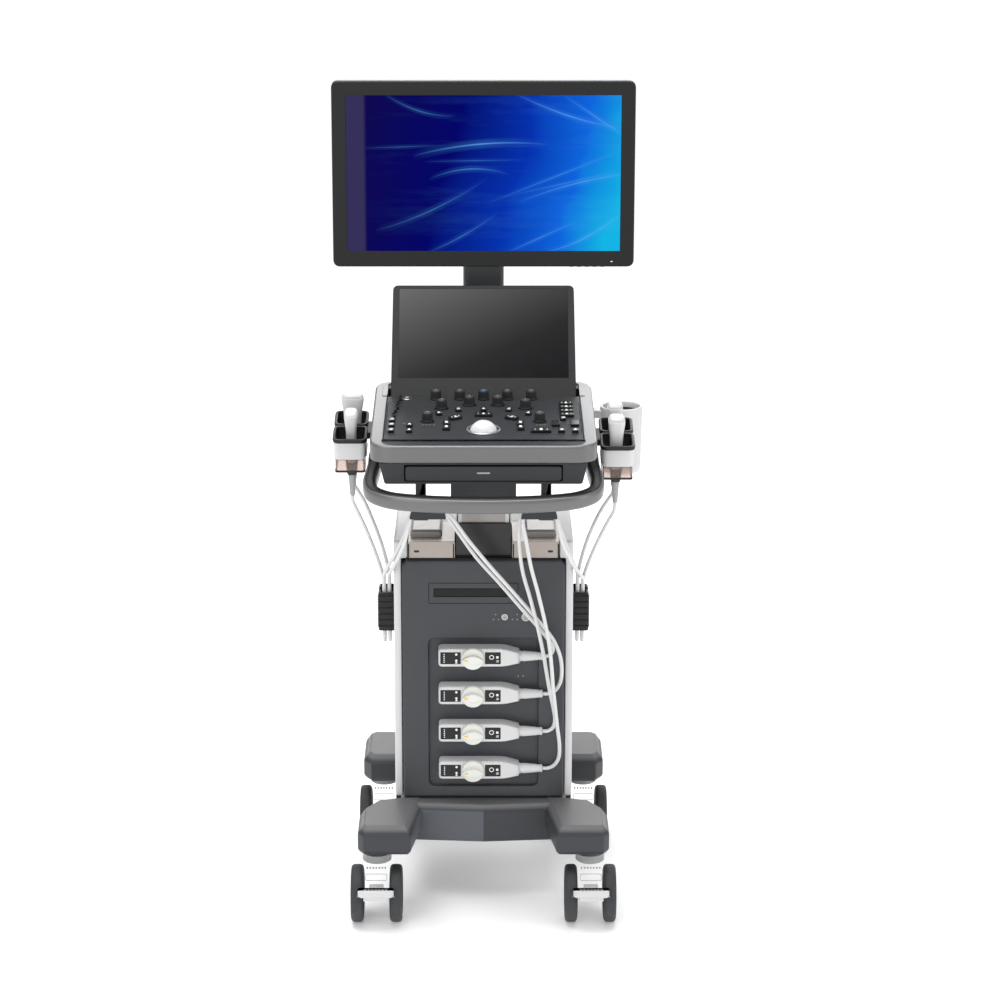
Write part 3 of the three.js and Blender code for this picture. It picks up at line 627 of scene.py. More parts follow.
cables = {
    "front_left": {"length": 1.167, "route": [
        (103.5, -80, 447), (110, -80, 447), (117, -82.5, 452), (120, -90, 464), (112, -99, 482),
        (95, -106, 506), (66, -113, 542), (28, -121, 590), (-12, -134, 640), (-42, -150, 688),
        (-62, -163, 722), *overSaddle(-1, -166.5), (-134, -150, 682), (-150, -112, 640), (-165, -66, 604),
        (-172, -28, 580), *sideLoop(-1, 174.7), (-177, 52, 550), (-187, 36, 592), (-201, 6, 642),
        (-213, -26, 682), (-221, -49, 708), (-224, -59, 719), (-224, -62.4, 730.6)]},
    "rear_left": {"length": 1.246, "route": [
        (103.5, -80, 378.3), (112, -80, 378.3), (123, -82.5, 384), (132, -90, 400), (135, -98, 424),
        (132, -105, 454), (119, -113, 488), (90, -121, 528), (50, -129, 578), (8, -140, 630),
        (-28, -155, 680), (-55, -170, 722), *overSaddle(-1, -175.5), (-131, -162, 682), (-143, -128, 642),
        (-155, -90, 610), (-162, -50, 588), *sideLoop(-1, 165.6), (-168, 58, 560), (-178, 54, 606),
        (-193, 42, 654), (-208, 27, 696), (-219, 13, 720), (-223.7, 5.5, 731), (-224, 2.6, 742.1)]},
    "rear_right": {"length": 1.242, "route": [
        (103.5, -80, 309.6), (111, -80, 309.6), (120, -82.5, 316), (124, -90, 334), (121, -98, 358),
        (115, -104, 388), (109, -110, 424), (103, -117, 462), (93, -126, 512), (80, -134, 566),
        (66, -144, 620), (60, -156, 676), (62, -163, 716), *overSaddle(1, -166.5), (134, -150, 682),
        (145, -118, 644), (156, -82, 612), (162, -44, 588), *sideLoop(1, 165.6), (168, 56, 560),
        (178, 48, 606), (194, 28, 656), (210, 2, 696), (220, -14, 716), (223.7, -19.8, 725),
        (224, -22.4, 736)]},
    "front_right": {"length": 1.344, "route": [
        (103.5, -80, 240.9), (112, -80, 240.9), (123, -82.5, 247), (131, -90, 264), (132, -98, 290),
        (128, -105, 325), (124, -111, 362), (120, -117, 400), (117, -123, 440), (112, -130, 486),
        (103, -137, 534), (92, -144, 582), (80, -153, 630), (71, -164, 682), (66, -173, 716),
        *overSaddle(1, -175.5), (131, -164, 680), (148, -124, 632), (165, -74, 594), (172, -32, 574),
        *sideLoop(1, 174.7), (177, 48, 552), (188, 24, 596), (203, -18, 646), (215, -56, 684),
        (222, -78, 704), (224, -84.5, 713), (224, -87.4, 724.5)]},
}


def throughPoints(points, perSpan=8):  # a smooth line through the points, with centripetal spacing
    points = [Vector(p) for p in points]
    ends = [points[0] * 2 - points[1], *points, points[-1] * 2 - points[-2]]
    line = []
    for a, b, c, d in zip(ends, ends[1:], ends[2:], ends[3:]):
        t1 = (b - a).length ** 0.5
        t2 = t1 + (c - b).length ** 0.5
        t3 = t2 + (d - c).length ** 0.5
        for step in range(perSpan):
            t = t1 + (t2 - t1) * step / perSpan
            ab = a * ((t1 - t) / t1) + b * (t / t1)
            bc = b * ((t2 - t) / (t2 - t1)) + c * ((t - t1) / (t2 - t1))
            cd = c * ((t3 - t) / (t3 - t2)) + d * ((t - t2) / (t3 - t2))
            abc = ab * ((t2 - t) / t2) + bc * (t / t2)
            bcd = bc * ((t3 - t) / (t3 - t1)) + cd * ((t - t1) / (t3 - t1))
            line.append(abc * ((t2 - t) / (t2 - t1)) + bcd * ((t - t1) / (t2 - t1)))
    return line + [points[-1]]


def makeCables():
    for name, one in cables.items():
        line = throughPoints(one["route"])
        real = sum((b - a).length for a, b in zip(line, line[1:])) * mm
        print("cable", name, "runs", round(real, 3), "m")
        obj = swept("cable_" + name, line, lambda t: circle(cable["diameter"] / 2, cable["sides"]))
        obj.data.materials.append(jacket)
        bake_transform(obj)
        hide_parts("probe_cable_" + name)
        line[0] * mm
        [p * mm for p in line]


makeCables()
print("probe cables laid")

# Base and casters.
base = {
    "hub": [(-122, -96), (0, -106), (122, -96), (146, -58), (146, 240), (-146, 240), (-146, -58)],
    "hubLayers": [(111, 5), (116, 0), (168, 0), (180, 7)],
    "frontLeg": [(-98, -50), (-140, -56), (-190, -72), (-216, -118), (-216, -200), (-206, -213),
                 (-125, -213),
                 (-108, -96)],
    "rearLeg": [(-98, 262), (-130, 285), (-206, 285), (-220, 270), (-220, 164), (-206, 142), (-98, 142)],
    "legLayers": [(130, 6), (137, 0), (166, 0), (182, 11)],
    "edge": 2.2,
    "socketRadius": 22,
}
caster = {
    "trail": 24, "radius": 50, "forkHalf": 21.4,
    "wheel": [(0, 22.6), (17, 22.6), (18.5, 24), (33, 24.6), (35, 23), (43, 22.6), (47, 23.8), (49.2, 26),
              (50, 29), (50, 37.5), (49.3, 40.6), (47.4, 43), (44.4, 44), (38.6, 44), (37, 43.2),
              (35.6, 41.2),
              (17, 40.4), (15.4, 41.8), (13.6, 42.6), (7.5, 42.6), (6.6, 41.2), (0, 41)],
    "side": [(20, 106), (16, 62), (-10, 38), (-38, 38), (-52, 60), (-52, 96), (-40, 106)],
    "boss": [(0, 40), (3.4, 40), (4.6, 41.6), (3.6, 42.2), (0, 42.2)], "bossCircle": 26, "bosses": 6,
    "axle": 6,
    "neck": [(0, 103), (23, 103), (25, 104.5), (25, 109), (23.6, 110.4), (23.6, 112), (24.6, 113),
             (24.6, 116.6),
             (23, 118), (8.6, 118), (8, 119), (8, 148.6), (0, 149)],
}
casterPlaces = {
    "front_left": (-184.5, -160), "front_right": (184.5, -160),
    "rear_left": (-184.5, 225), "rear_right": (184.5, 225),
}


def mirrored(corners):
    return [(-corner[0], *corner[1:]) for corner in reversed(corners)]


def together(name, *objs):  # several meshes as one piece
    bm = bmesh.new()
    for obj in objs:
        bm.from_mesh(obj.data)
    data = bpy.data.meshes.new(name)
    bm.to_mesh(data)
    bm.free()
    for obj in objs:
        bpy.data.objects.remove(obj)
    made = bpy.data.objects.new(name, data)
    scene.collection.objects.link(made)
    data.set_sharp_from_angle(angle=math.radians(smoothAngle))
    made.modifiers.new("even shading", "WEIGHTED_NORMAL").keep_sharp = True
    return made


def block(name, low, high, edge=0.0, radius=0.0, steps=3):  # a box between two corners
    plan = rectangle(low[0], high[0], low[1], high[1], radius, 4)
    return slab(name, plan, (low[2], high[2]), edge=edge, steps=steps)


def rod(name, radius, start, length, axis="z", steps=32, round=0.6):
    profile = [(0, 0), (radius - round, 0), (radius, round), (radius, length - round),
               (radius - round, length),
               (0, length)]
    made = turned(name, profile, steps)
    if axis == "x":
        made.data.transform(spinBy(90, "Y"))
    if axis == "y":
        made.data.transform(spinBy(-90, "X"))
    made.data.transform(shiftBy(*start))
    return made


# The base's slate has painted light: the tops of the legs are painted lighter as if lit from overhead, and
# the left half of its creased front is painted lighter as if lit from the left.
def baseSlatePaintedLight(name):
    paint = Paint(name, Specular_IOR_Level=0.3)
    # painted highlight: the tops of the legs are painted lighter, as if lit from overhead
    high = paint.spread(paint.part("Z"), 0.1700, 0.1765)
    # painted light: the left half of the creased front is painted lighter, as if lit from the left
    paintedLitLeftFront = (paint.spread(paint.part("X"), 0.0004, -0.0004) * paint.spread(paint.part("Y"), -0.0945,
                                                                               -0.0960)
                 * paint.spread(paint.part("X"), -0.124, -0.116) * paint.spread(paint.part("Z"), 0.1700,
                                                                                0.1685))
    side = paint.mix(paintedLitLeftFront, (0.046, 0.049, 0.055), (0.098, 0.105, 0.122))
    paint.into(Base_Color=paint.mix(high * (paint.noise(6.0) * 0.2 + 0.8), side, (0.17, 0.17, 0.174)))
    skin = paint.noise(1.0 / (0.45 * mm), 2.0, 0.6)
    paint.into(Roughness=skin * 0.10 + 0.38)
    paint.bump(skin, 0.10, 0.12 * mm)
    return paint.material


def makeBase():
    hub = shaped(slab("hub", softCorners(base["hub"]), base["hubLayers"]), edge=base["edge"], sharp=24)
    parts = [hub]
    for name, (x, y) in casterPlaces.items():
        corners = base["frontLeg"] if name.startswith("front") else base["rearLeg"]
        leg = slab("leg", softCorners(corners if x < 0 else mirrored(corners)), base["legLayers"])
        socket = rod("socket", base["socketRadius"], (x, y, 129), 9, round=0.1)
        parts.append(shaped(leg, cut=[socket], edge=base["edge"], sharp=24))
    made = together("base_shell", *parts)
    for edge in made.data.edges:  # the crease down the middle of the front
        ends = [made.data.vertices[index].co / mm for index in edge.vertices]
        edge.use_edge_sharp = edge.use_edge_sharp or all(abs(end.x) < 0.5 and end.y < -90 for end in ends)
    fit(made, baseSlatePaintedLight("base slate with painted light"), "root", "slate_plastic", "base_cover")


def makeCaster(name, x, y):
    spot = at(x, y, 0)
    hub = at(x, y - caster["trail"], caster["radius"])
    body = "caster_" + name
    half = caster["forkHalf"]
    fork = slab("fork_" + name, softCorners(caster["side"], 9, 5), (-half, half), "x")
    cuts = [rod("bore", 6.6, (-half - 1, -caster["trail"], caster["radius"]), 2 * half + 2, "x", round=0.1)]
    if name.startswith("front"):
        cuts.append(block("notch", (-13.6, -60, 61), (13.6, -39, 80)))
    fork = shaped(fork, cut=cuts, edge=1.6, steps=3)
    neck = turned("neck", caster["neck"], 56)
    fork = together("fork_" + name, fork, neck)
    fit(fork, forkWhitePaintedShade, body, "white_plastic", "caster_fork_" + name, frameOf=spot)
    frameLine = shaped(slab("line", rectangle(-18.5, 18.5, 84, 97, 3), (-52.6, -51.6), "y"),
                       cut=[slab("hole", rectangle(-17.6, 17.6, 84.9, 96.1, 2.4), (-54, -50), "y")],
                       edge=0.2)
    frameLine.name = "fork_seam_" + name
    fit(frameLine, reliefGrey, body, "white_plastic", frameOf=spot)
    studs = [rod("stud", 1.5, (stud * 5.2, -44.5, 103.2), 3.2, round=0.5, steps=16) for stud in range(-3,
                                                                                                      4)]
    fit(together("fork_studs_" + name, *studs), reliefGrey, body, "white_plastic", frameOf=spot)
    wheels = []
    for side in (-1, 1):
        wheel = turned("wheel", caster["wheel"], 72)
        wheel.data.transform(spinBy(90 * side, "Y"))
        wheels.append(wheel)
        reach = caster["bossCircle"]
        for hole in range(caster["bosses"]):
            turn = math.radians(60 * hole + 30)
            boss = turned("boss", caster["boss"], 18)
            boss.data.transform(shiftBy(reach * math.cos(turn), reach * math.sin(turn), 0))
            boss.data.transform(spinBy(90 * side, "Y"))
            wheels.append(boss)
    wheels.append(rod("axle", caster["axle"], (-24, 0, 0), 48, "x"))
    wheels = together("wheels_" + name, *wheels)
    fit(wheels, wheelSkin, "wheels_" + name, "tyre_grey", "caster_wheels_" + name, frameOf=hub)


pedalShape = {
    "bar": [(-31.5, -80, 3.4), (-27, -87.5, 5), (27, -87.5, 5), (31.5, -80, 3.4), (30.5, -76.5, 1.2),
            (-30.5, -76.5, 1.2)],
    "layers": [(66, 2), (66.7, 0.8), (68, 0), (77, 0), (78.3, 0.8), (79, 2)],
}


def makePedal(name, x, y):
    pedal = slab("pedal_" + name, softCorners(pedalShape["bar"], steps=5), pedalShape["layers"])
    lip = block("lip", (-21, -85, 59), (21, -78, 68), 1.2, 2)
    tongue = block("tongue", (-12, -78, 66.2), (12, -46, 73.5), 1.0)
    pin = rod("pin", 5, (-12, -46, 70), 24, "x")
    grips = [block("grip", (rib * 6 - 1, -85, 78.6), (rib * 6 + 1, -78, 79.6), 0.3) for rib in range(-3, 4)]
    made = together("pedal_" + name, pedal, lip, tongue, pin, *grips)
    fit(made, white, "pedal_" + name, "white_plastic", "brake_pedal_" + name, frameOf=at(x, y, 0))


makeBase()
for casterName, (casterX, casterY) in casterPlaces.items():
    makeCaster(casterName, casterX, casterY)
    if casterName.startswith("front"):
        makePedal(casterName, casterX, casterY)
print("base and casters made")

# Cabinet.
cover = {
    "half": 141, "front": -73, "back": -45.3, "bottom": 183, "top": 618, "chamfer": 9,
    "bay": (-94.4, 94.4, 206, 476), "bayDepth": 8, "bayRadius": 11,
    "drive": (-95, 60, 539.6, 577), "door": (-86, 47.5, 551.5, 566.8),
    "sockets": ((36.5, 515, 4.6), (73, 515, 6.4)),
}


def sleeveOrSteel():  # the lower frame is powder-coated steel and the sleeve's collar is black
    paint = Paint("steel frame and black collar")
    collar = paint.spread(paint.part("Z"), 0.600, 0.602)
    grain = paint.noise(700.0, 2.0)
    steel = paint.mix(grain, (0.13, 0.13, 0.135), (0.17, 0.17, 0.175))
    paint.into(Base_Color=paint.mix(collar, steel, (0.008, 0.007, 0.007)))
    paint.into(Metallic=(1 - collar) * 0.4, Roughness=0.45 - collar * 0.22 + grain * 0.06)
    paint.bump(grain, 0.08, 0.1 * mm)
    return paint.material


def deckTones():  # taupe fascias and shelf, and warm grey lids standing on it
    paint = Paint("deck tones", Coat_Roughness=0.2)
    lids = paint.spread(paint.part("Z"), 0.6506, 0.6512)
    fleck = paint.spread(paint.noise(1300.0, 1.0), 0.35, 0.65)
    taupeTone = paint.mix(fleck, (0.375, 0.325, 0.29), (0.43, 0.375, 0.335))
    lidTone = paint.mix(fleck, (0.33, 0.31, 0.29), (0.38, 0.355, 0.335))
    paint.into(Base_Color=paint.mix(lids, taupeTone, lidTone))
    paint.into(Metallic=fleck * 0.1 + 0.2, Roughness=fleck * 0.08 + 0.33, Coat_Weight=fleck * 0.05 + 0.2)
    paint.bump(fleck, 0.03, 0.05 * mm)
    return paint.material


def thinFrame(name, u0, u1, v0, v1, y, wide, deep, radius=2.0):  # a narrow rectangular line on a front face
    outer = rectangle(u0, u1, v0, v1, radius)
    inner = rectangle(u0 + wide, u1 - wide, v0 + wide, v1 - wide, max(0.4, radius - wide))
    loops = [[place("y", p.x, p.y, at) for p in loop]
             for loop, at in ((outer, y + deep), (outer, y), (inner, y), (inner, y + deep))]
    return lofted(name, loops, closed=True)


def makeFrontCover():
    half, front, back = cover["half"], cover["front"], cover["back"]
    bottom, top, chamfer = cover["bottom"], cover["top"], cover["chamfer"]
    face = softCorners([(-half, bottom), (half, bottom), (half, top - chamfer), (half - chamfer, top),
                        (-half + chamfer, top), (-half, top - chamfer)])
    shell = slab("front_cover_shell", face, [(front, 5), (front + 2.5, 1.4), (front + 7, 0), (back, 0)],
                 "y")
    u0, u1, v0, v1 = cover["bay"]
    hollow = block("hollow", (-half + 5, front + 12, bottom - 5), (half - 5, back + 5, top - 5))
    bay = slab("bay", rectangle(u0, u1, v0, v1, cover["bayRadius"]),
               [(front - 2, -2), (front + cover["bayDepth"], 0)], "y")
    u0, u1, v0, v1 = cover["door"]
    doorWell = slab("door", rectangle(u0, u1, v0, v1, 1.2), (front - 2, front + 3), "y")
    u0, u1, v0, v1 = cover["drive"]
    groove = thinFrame("groove", u0, u1, v0, v1, front - 1, 1.1, 1.9)
    wells = [rod("well", size + 1.2, (x, front - 1, z), 4, "y", round=0.1) for x, z,
             size in cover["sockets"]]
    made = shaped(shell, cut=[hollow, bay, doorWell, groove, *wells], edge=0.7, sharp=40)
    fit(made, slate, "root", "slate_plastic", "front_cover")
    u0, u1, v0, v1 = cover["door"]
    door = slab("drive_door", rectangle(u0 + 0.9, u1 - 0.9, v0 + 0.9, v1 - 0.9, 0.8),
                (front + 1.2, front + 2.9),
                "y", edge=0.4)
    button = slab("button", rectangle(u1 - 14, u1 - 6, v0 + 3, v0 + 6, 1.2), (front + 0.6, front + 1.6),
                  "y",
                  edge=0.3)
    fit(together("drive_door", door, button), dark, "root", "slate_plastic")


def makeSockets():
    front = cover["front"]
    for index, (x, z, size) in enumerate(cover["sockets"], 1):
        shell = ring("socket_ring", [(size + 1, 0), (size + 1, 2.6), (size + 0.4, 3.1), (size - 0.5, 3.1),
                                     (size - 0.9, 2.4), (size - 0.9, 0)], 40)
        pad = turned("pad", [(0, 0), (size - 0.9, 0), (size - 0.9, 0.9), (0, 0.9)], 32)
        pins = []
        for pin in range(6):
            turn = math.radians(60 * pin + 15)
            pins.append(rod("pin", 0.55, (size * 0.52 * math.cos(turn), size * 0.52 * math.sin(turn), 0.8),
                            1.4,
                            round=0.2, steps=12))
        spot = at(x, front + 2.9, z) @ facingFront
        fit(together(f"socket_{index}", shell, *pins), white, "root", "white_plastic", frameOf=spot)
        fit(pad, reliefGrey, "root", "white_plastic", frameOf=spot)
        pad.name = f"socket_pad_{index}"
    marks = []
    for x, z, kind in ((17, 511, "bars"), (26, 511, "dot"), (50, 511, "dot"), (58, 511, "bars"),
                       (21, 520, "dot"), (58, 520, "dot"), (60, 408, "bars"), (69, 408, "dot")):
        marks.append(smallMark(kind, x, z, 2.2))
    fit(together("cover_marks", *marks), reliefGrey, "root", "slate_plastic",
        frameOf=at(0, front, 0) @ facingFront)


# Small generic signs standing on z = 0 around a point: a dot, a triangle, a ring, a square or three bars.
def smallMark(kind, x, y, size, high=0.18):
    def around(radius, sides):
        return [(x + u, y + v) for u, v in circle(radius, sides)]

    if kind == "dot":
        return slab("dot", softCorners(around(size * 0.42, 16)), (0, high))
    if kind == "triangle":
        points = [(x - size * 0.6, y - size * 0.4), (x + size * 0.6, y - size * 0.4), (x, y + size * 0.6)]
        return slab("triangle", softCorners(points), (0, high))
    if kind == "ring":
        outer, inner = around(size * 0.6, 20), around(size * 0.42, 20)
        rows = ((outer, 0), (outer, high), (inner, high), (inner, 0))
        loops = [[(u, v, z) for u, v in loop] for loop, z in rows]
        return lofted("ring", loops, closed=True)
    if kind == "square":
        wide = size * 0.5
        return slab("square", rectangle(x - wide, x + wide, y - wide, y + wide, size * 0.1, 2), (0, high))
    bars = []
    for bar in range(3):
        middle, half = y + (bar - 1) * size * 0.36, size * 0.09
        plan = rectangle(x - size * (0.6 - 0.15 * bar), x + size * 0.6, middle - half, middle + half)
        bars.append(slab("bar", plan, (0, high)))
    return together("bars", *bars)


def makeCabinet():
    fit(refinedShell("body_shell", 2.0), white, "root", "white_plastic", "body_shell")
    fit(refinedShell("chassis", 0.8), sleeveOrSteel(), "root", "frame_steel", "chassis")
    fit(refinedShell("top_deck", 1.1), deckTones(), "root", "taupe_paint", "top_deck")
    low = nodeBox("top_deck")[0]
    for side, sign in sides.items():
        slot = slab("deck_slot_" + side, rectangle(sign * 115 - 4.5, sign * 115 + 4.5, 630.5, 634.5, 1.6),
                    (low.y - 0.25, low.y + 0.4), "y")
        fit(slot, black, "root", "taupe_paint")
        halo = thinFrame("deck_slot_rim_" + side, sign * 115 - 5.4, sign * 115 + 5.4, 629.6, 635.4,
                         low.y - 0.35,
                         0.9, 0.7, 2.2)
        fit(halo, bright, "root", "taupe_paint")
        for index, x in enumerate((sign * 128.6, sign * 51.4)):
            line = block(f"deck_edge_{side}_{index}", (x - 1.2, low.y - 0.3, 621),
                         (x + 1.2, low.y + 5, 646), 0.3)
            fit(line, black, "root", "taupe_paint")
    bead = block("deck_bead", (-133, -71, 618.4), (133, -66, 620.2), 0.4)
    fit(bead, black, "root", "taupe_paint")


def makeGuides():
    for side, sign in sides.items():
        node = "cable_guide_" + side
        fit(refinedShell(node, 0.7), black, "root", "rim_black", node)
        low, high = nodeBox(node)
        outer = high.x if sign > 0 else low.x
        for index in range(6):
            z = low.z + 8 + index * 11
            x0, x1 = sorted((outer, outer - sign * 29))
            rib = block(f"guide_rib_{side}_{index}", (x0, low.y - 1.2, z), (x1, low.y + 0.8, z + 2.2), 0.4)
            fit(rib, dark, "root", "rim_black")
        x0, x1 = sorted((outer, outer + sign * 1.6))
        lip = block(f"guide_lip_{side}", (x0, low.y + 3, low.z + 6), (x1, low.y + 14, high.z - 6), 0.5)
        fit(lip, white, "root", "rim_black")


makeFrontCover()
makeSockets()
makeCabinet()
makeGuides()
print("cabinet made")

# Probe connectors.
plug = {
    "front": -95, "back": -65.4, "left": -78, "right": 62, "half": 16.5, "top": 448, "pitch": 68.7,
    "lockX": -18.4,
    "disc": [(0, 0), (18.8, 0), (19.5, 0.8), (19.5, 4.6), (19.1, 6), (18, 7.3), (16, 8), (0, 8.2)],
    "relief": [(0, 0), (9.5, 0), (9.5, 3.5), (8.6, 4.2), (8.6, 6.5), (9.2, 7.2), (8.8, 14), (7.4, 30),
               (6.4, 38),
               (7.2, 38.8), (7.2, 40.6), (5.6, 41.4), (5.4, 42), (0, 42)],
}


def makeConnector(index):
    z = plug["top"] - index * plug["pitch"]
    front, back, half = plug["front"], plug["back"], plug["half"]
    face = softCorners([(plug["left"], -half, 7), (36, -half, 10), (plug["right"], -10.5, 2),
                        (plug["right"], 9, 2),
                        (36, half, 10),
                        (plug["left"], half, 7)], steps=5)
    body = slab("plug_body", face, [(front, 3.2), (front + 0.9, 1.4), (front + 3.2, 0), (back - 1, 0),
                                    (back, 0.8)],
                "y")
    body = shaped(body, cut=[rod("lock hole", 4.6, (plug["lockX"], front - 1, 0), 12, "y", round=0.1)],
                  edge=0.25)
    relief = turned("relief", plug["relief"], 36)
    relief.data.transform(shiftBy(plug["right"] - 1, -80, -1) @ spinBy(90, "Y"))
    teeth = [block("tooth", (-60 + tooth * 5.2, front + 0.6, 14.2), (-57.6 + tooth * 5.2, front + 6, 16.9),
                   0.3)
             for tooth in range(18)]
    whole = together(f"plug_{index + 1}", body, relief, *teeth)
    fit(whole, white, "root", "white_plastic", f"probe_connector_{index + 1}", frameOf=at(0, 0, z))
    plates = []
    for u0, u1 in ((-74.6, -39.4), (2.6, 29.8)):
        plates.append(slab("label", rectangle(u0, u1, -11, 10.6, 1.2, 3), (front - 0.35, front + 0.6), "y",
                           edge=0.15))
    fit(together(f"plug_label_{index + 1}", *plates), black, "root", "white_plastic", frameOf=at(0, 0, z))
    marks = [smallMark("dot", -47, 6.5, 5), smallMark("dot", -47, -4.5, 5),
             smallMark("triangle", -47, -8, 4),
             smallMark("ring", 14, 1.5, 7), smallMark("square", 24, 1.5, 4), smallMark("bars", 24, -5.5, 4)]
    marks += [smallMark("square", -68, -7 + 3.4 * step, 1.8) for step in range(5)]
    fit(together(f"plug_marks_{index + 1}", *marks), legend, "root", "white_plastic",
        frameOf=at(0, front - 0.3, z) @ facingFront)


def discWave(angle, height):  # the lock disc's milled edge
    return 0.012 * math.cos(36 * angle) if 0.5 < height < 5 else 0


def makeLock(index):
    z = plug["top"] - index * plug["pitch"]
    disc = turned("disc", plug["disc"], 72, discWave)
    grip = [[(x, y * k, z0) for x, y in lensShape(18 - inset0, 7.8 - inset0)]
            for z0, inset0, k in ((7, 0, 1), (13.6, 0.2, 1), (15, 0.8, 1), (15.8, 2.2, 1))]
    handle = lofted("grip", grip)
    made = together(f"lock_{index + 1}", disc, handle)
    spot = at(plug["lockX"], plug["front"] - 0.3, z) @ facingFront
    fit(made, cream, f"lock{index + 1}", "white_plastic", f"connector_lock_{index + 1}", frameOf=spot)
    mark = slab(f"lock_mark_{index + 1}", rectangle(-16.5, -9.5, -4.0, -1.2, 0.8, 3), (15.6, 16.0))
    mark.data.transform(shiftBy(1.5, 2.6, -0.1))
    fit(mark, yellow, f"lock{index + 1}", "white_plastic", frameOf=spot)


def lensShape(half, deep, count=12):
    upper = []
    for step in range(count + 1):
        upper.append((-half + 2 * half * step / count, deep * (1 - (2 * step / count - 1) ** 2) + 0.6))
    return [(u, -v) for u, v in upper] + upper[::-1]


for number in range(4):
    makeConnector(number)
    makeLock(number)
print("connectors made")

# Console.
console = {
    "half": 188, "front": -243, "back": 107, "bottom": 832, "frontTop": 861, "backTop": 893, "corner": 40,
    "well": (-166, 166, -221, 96), "wellCorner": 13, "brow": 4,
}
slope = math.atan2(console["backTop"] - console["frontTop"], console["back"] - console["front"])
panelPlace = at(0, console["front"], console["frontTop"], math.degrees(slope))
handle = {
    "half": [(168.9, -34), (173.5, -35), (181, -43.5), (183.5, -62), (184, -105), (187, -150), (189, -190),
             (182, -230), (156, -256), (110, -270), (55, -277)],
    "front": -279, "frontZ": 770, "rise": 7, "wide": 12, "tall": 13,
}
knobPlaces = [*[(x, 255) for x in (-82, -41, 0, 41, 82)], *[(x, 222) for x in (-24.3, 24.3)],
              *[(x, 204) for x in (-71.5, 71.5)], *[(x, 135) for x in (-94.5, 94.5)]]
ballUp, ballRadius = 92, 24
signHeight = 2.78


def onPanel(obj, paint, where=panelPlace):
    return fit(obj, paint, "console", "dark_plastic", frameOf=where)


def onTop(y):  # the height of the console's sloping top at a depth
    return console["frontTop"] + (y - console["front"]) * math.tan(slope)


def topLoop(outline, by, drop):  # an outline laid on the sloping top, inset and lowered
    return [(p.x, p.y, onTop(p.y) - drop) for p in inset(outline, by)]


def makeBezel():
    half, front, back, bottom = console["half"], console["front"], console["back"], console["bottom"]
    outer = rectangle(-half, half, front, back, console["corner"], 12)
    inner = rectangle(*console["well"], console["wellCorner"], 12)
    loops = [[(p.x, p.y, bottom) for p in inset(outer, 3)],
             [(p.x, p.y, bottom + 1.2) for p in inset(outer, 0.9)],
             [(p.x, p.y, bottom + 3.5) for p in outer]]
    brow = console["brow"]
    for step in range(7):
        turn = math.radians(15 * step)
        in0, drop = brow * (1 - math.cos(turn)), brow * (1 - math.sin(turn))
        loops.append(topLoop(outer, in0, drop))
    for in0, drop in ((-2.2, 0.0), (-0.7, 0.5), (0.0, 1.8)):
        loops.append(topLoop(inner, in0, drop))
    loops.append([(p.x, p.y, bottom) for p in inner])
    made = lofted("console_rim", loops, closed=True)
    fit(made, silver, "console", "silver_paint", "console_bezel")
    for side, sign in sides.items():
        pad = slab("hinge_pad_" + side, rectangle(sign * 170.5 - 4.5, sign * 170.5 + 4.5, 20, 76, 4.2, 6),
                   [(0, 0), (1.2, 0), (1.8, 0.8)])
        pad.data.transform(shiftBy(0, 0, onTop(20) - 0.6))
        for vertex in pad.data.vertices:
            vertex.co.z += (vertex.co.y / mm - 20) * math.tan(slope) * mm
        fit(pad, silver, "console", "silver_paint")


def makePanel():
    fit(refinedShell("control_panel", 0.5, 2), panelSkin, "console", "dark_plastic", "control_panel")
    mat = slab("keypad_mat", rectangle(-163, 163, 66, 236, 10, 5), (-5, -2))
    holes = [rod("hole", 11.8, (x, up, -20), 40, round=0.1) for x, up in knobPlaces if up < 236]
    holes.append(rod("ball hole", 29.2, (0, ballUp, -20), 40, round=0.1, steps=64))
    mat = shaped(mat, cut=holes, edge=0.25)
    fit(mat, panelSkin, "keys", "key_black", "keypad", frameOf=panelPlace)


def makeLip():  # the dark strip between the panel and the console's front edge
    corners = [(-168, 5, 26), (168, 5, 26), (168, 25.5, 1), (-168, 25.5, 1)]
    lip = slab("front_lip", softCorners(corners, steps=9), [(-1.5, 0), (0.1, 0), (0.35, 0.3), (0.5, 1.0)])
    onPanel(lip, panelSkin)


knobShape = {
    "sink": -1.7, "ribs": 24, "ribDepth": 0.028, "blue": 3,
    "profile": [(0, 0), (9.5, 0), (9.8, 0.4), (9.8, 1.6), (9.5, 2.2), (9.1, 2.6), (8.95, 3.6), (8.85, 6),
                (8.4, 13.6), (8.0, 15), (7.3, 15.7), (6.8, 15.7), (6.6, 15.2), (0, 15.2)],
    "cap": [(0, 14.9), (6.45, 14.9), (6.45, 15.6), (6.0, 15.95), (0, 15.75)],
}


def knobWave(angle, height):
    return knobShape["ribDepth"] * math.cos(knobShape["ribs"] * angle) if 3.5 < height < 15.2 else 0


def makeKnobs():
    for index, (x, up) in enumerate(knobPlaces, 1):
        body = f"knob{index:02d}"
        spot = panelPlace @ shiftBy(x, up, knobShape["sink"])
        knob = turned(f"knob_body_{index:02d}", knobShape["profile"], 96, knobWave)
        fit(knob, knobSkin, body, "knob_black", f"knob_{index:02d}", frameOf=spot)
        cap = turned(f"knob_cap_{index:02d}", knobShape["cap"], 40)
        fit(cap, blueCap if index == knobShape["blue"] else knobCap, body, "knob_black", frameOf=spot)
        mark = slab(f"knob_mark_{index:02d}", rectangle(-0.45, 0.45, 2.2, 4.8, 0.3, 2), (15.7, 16.05))
        fit(mark, legend, body, "knob_black", frameOf=spot)


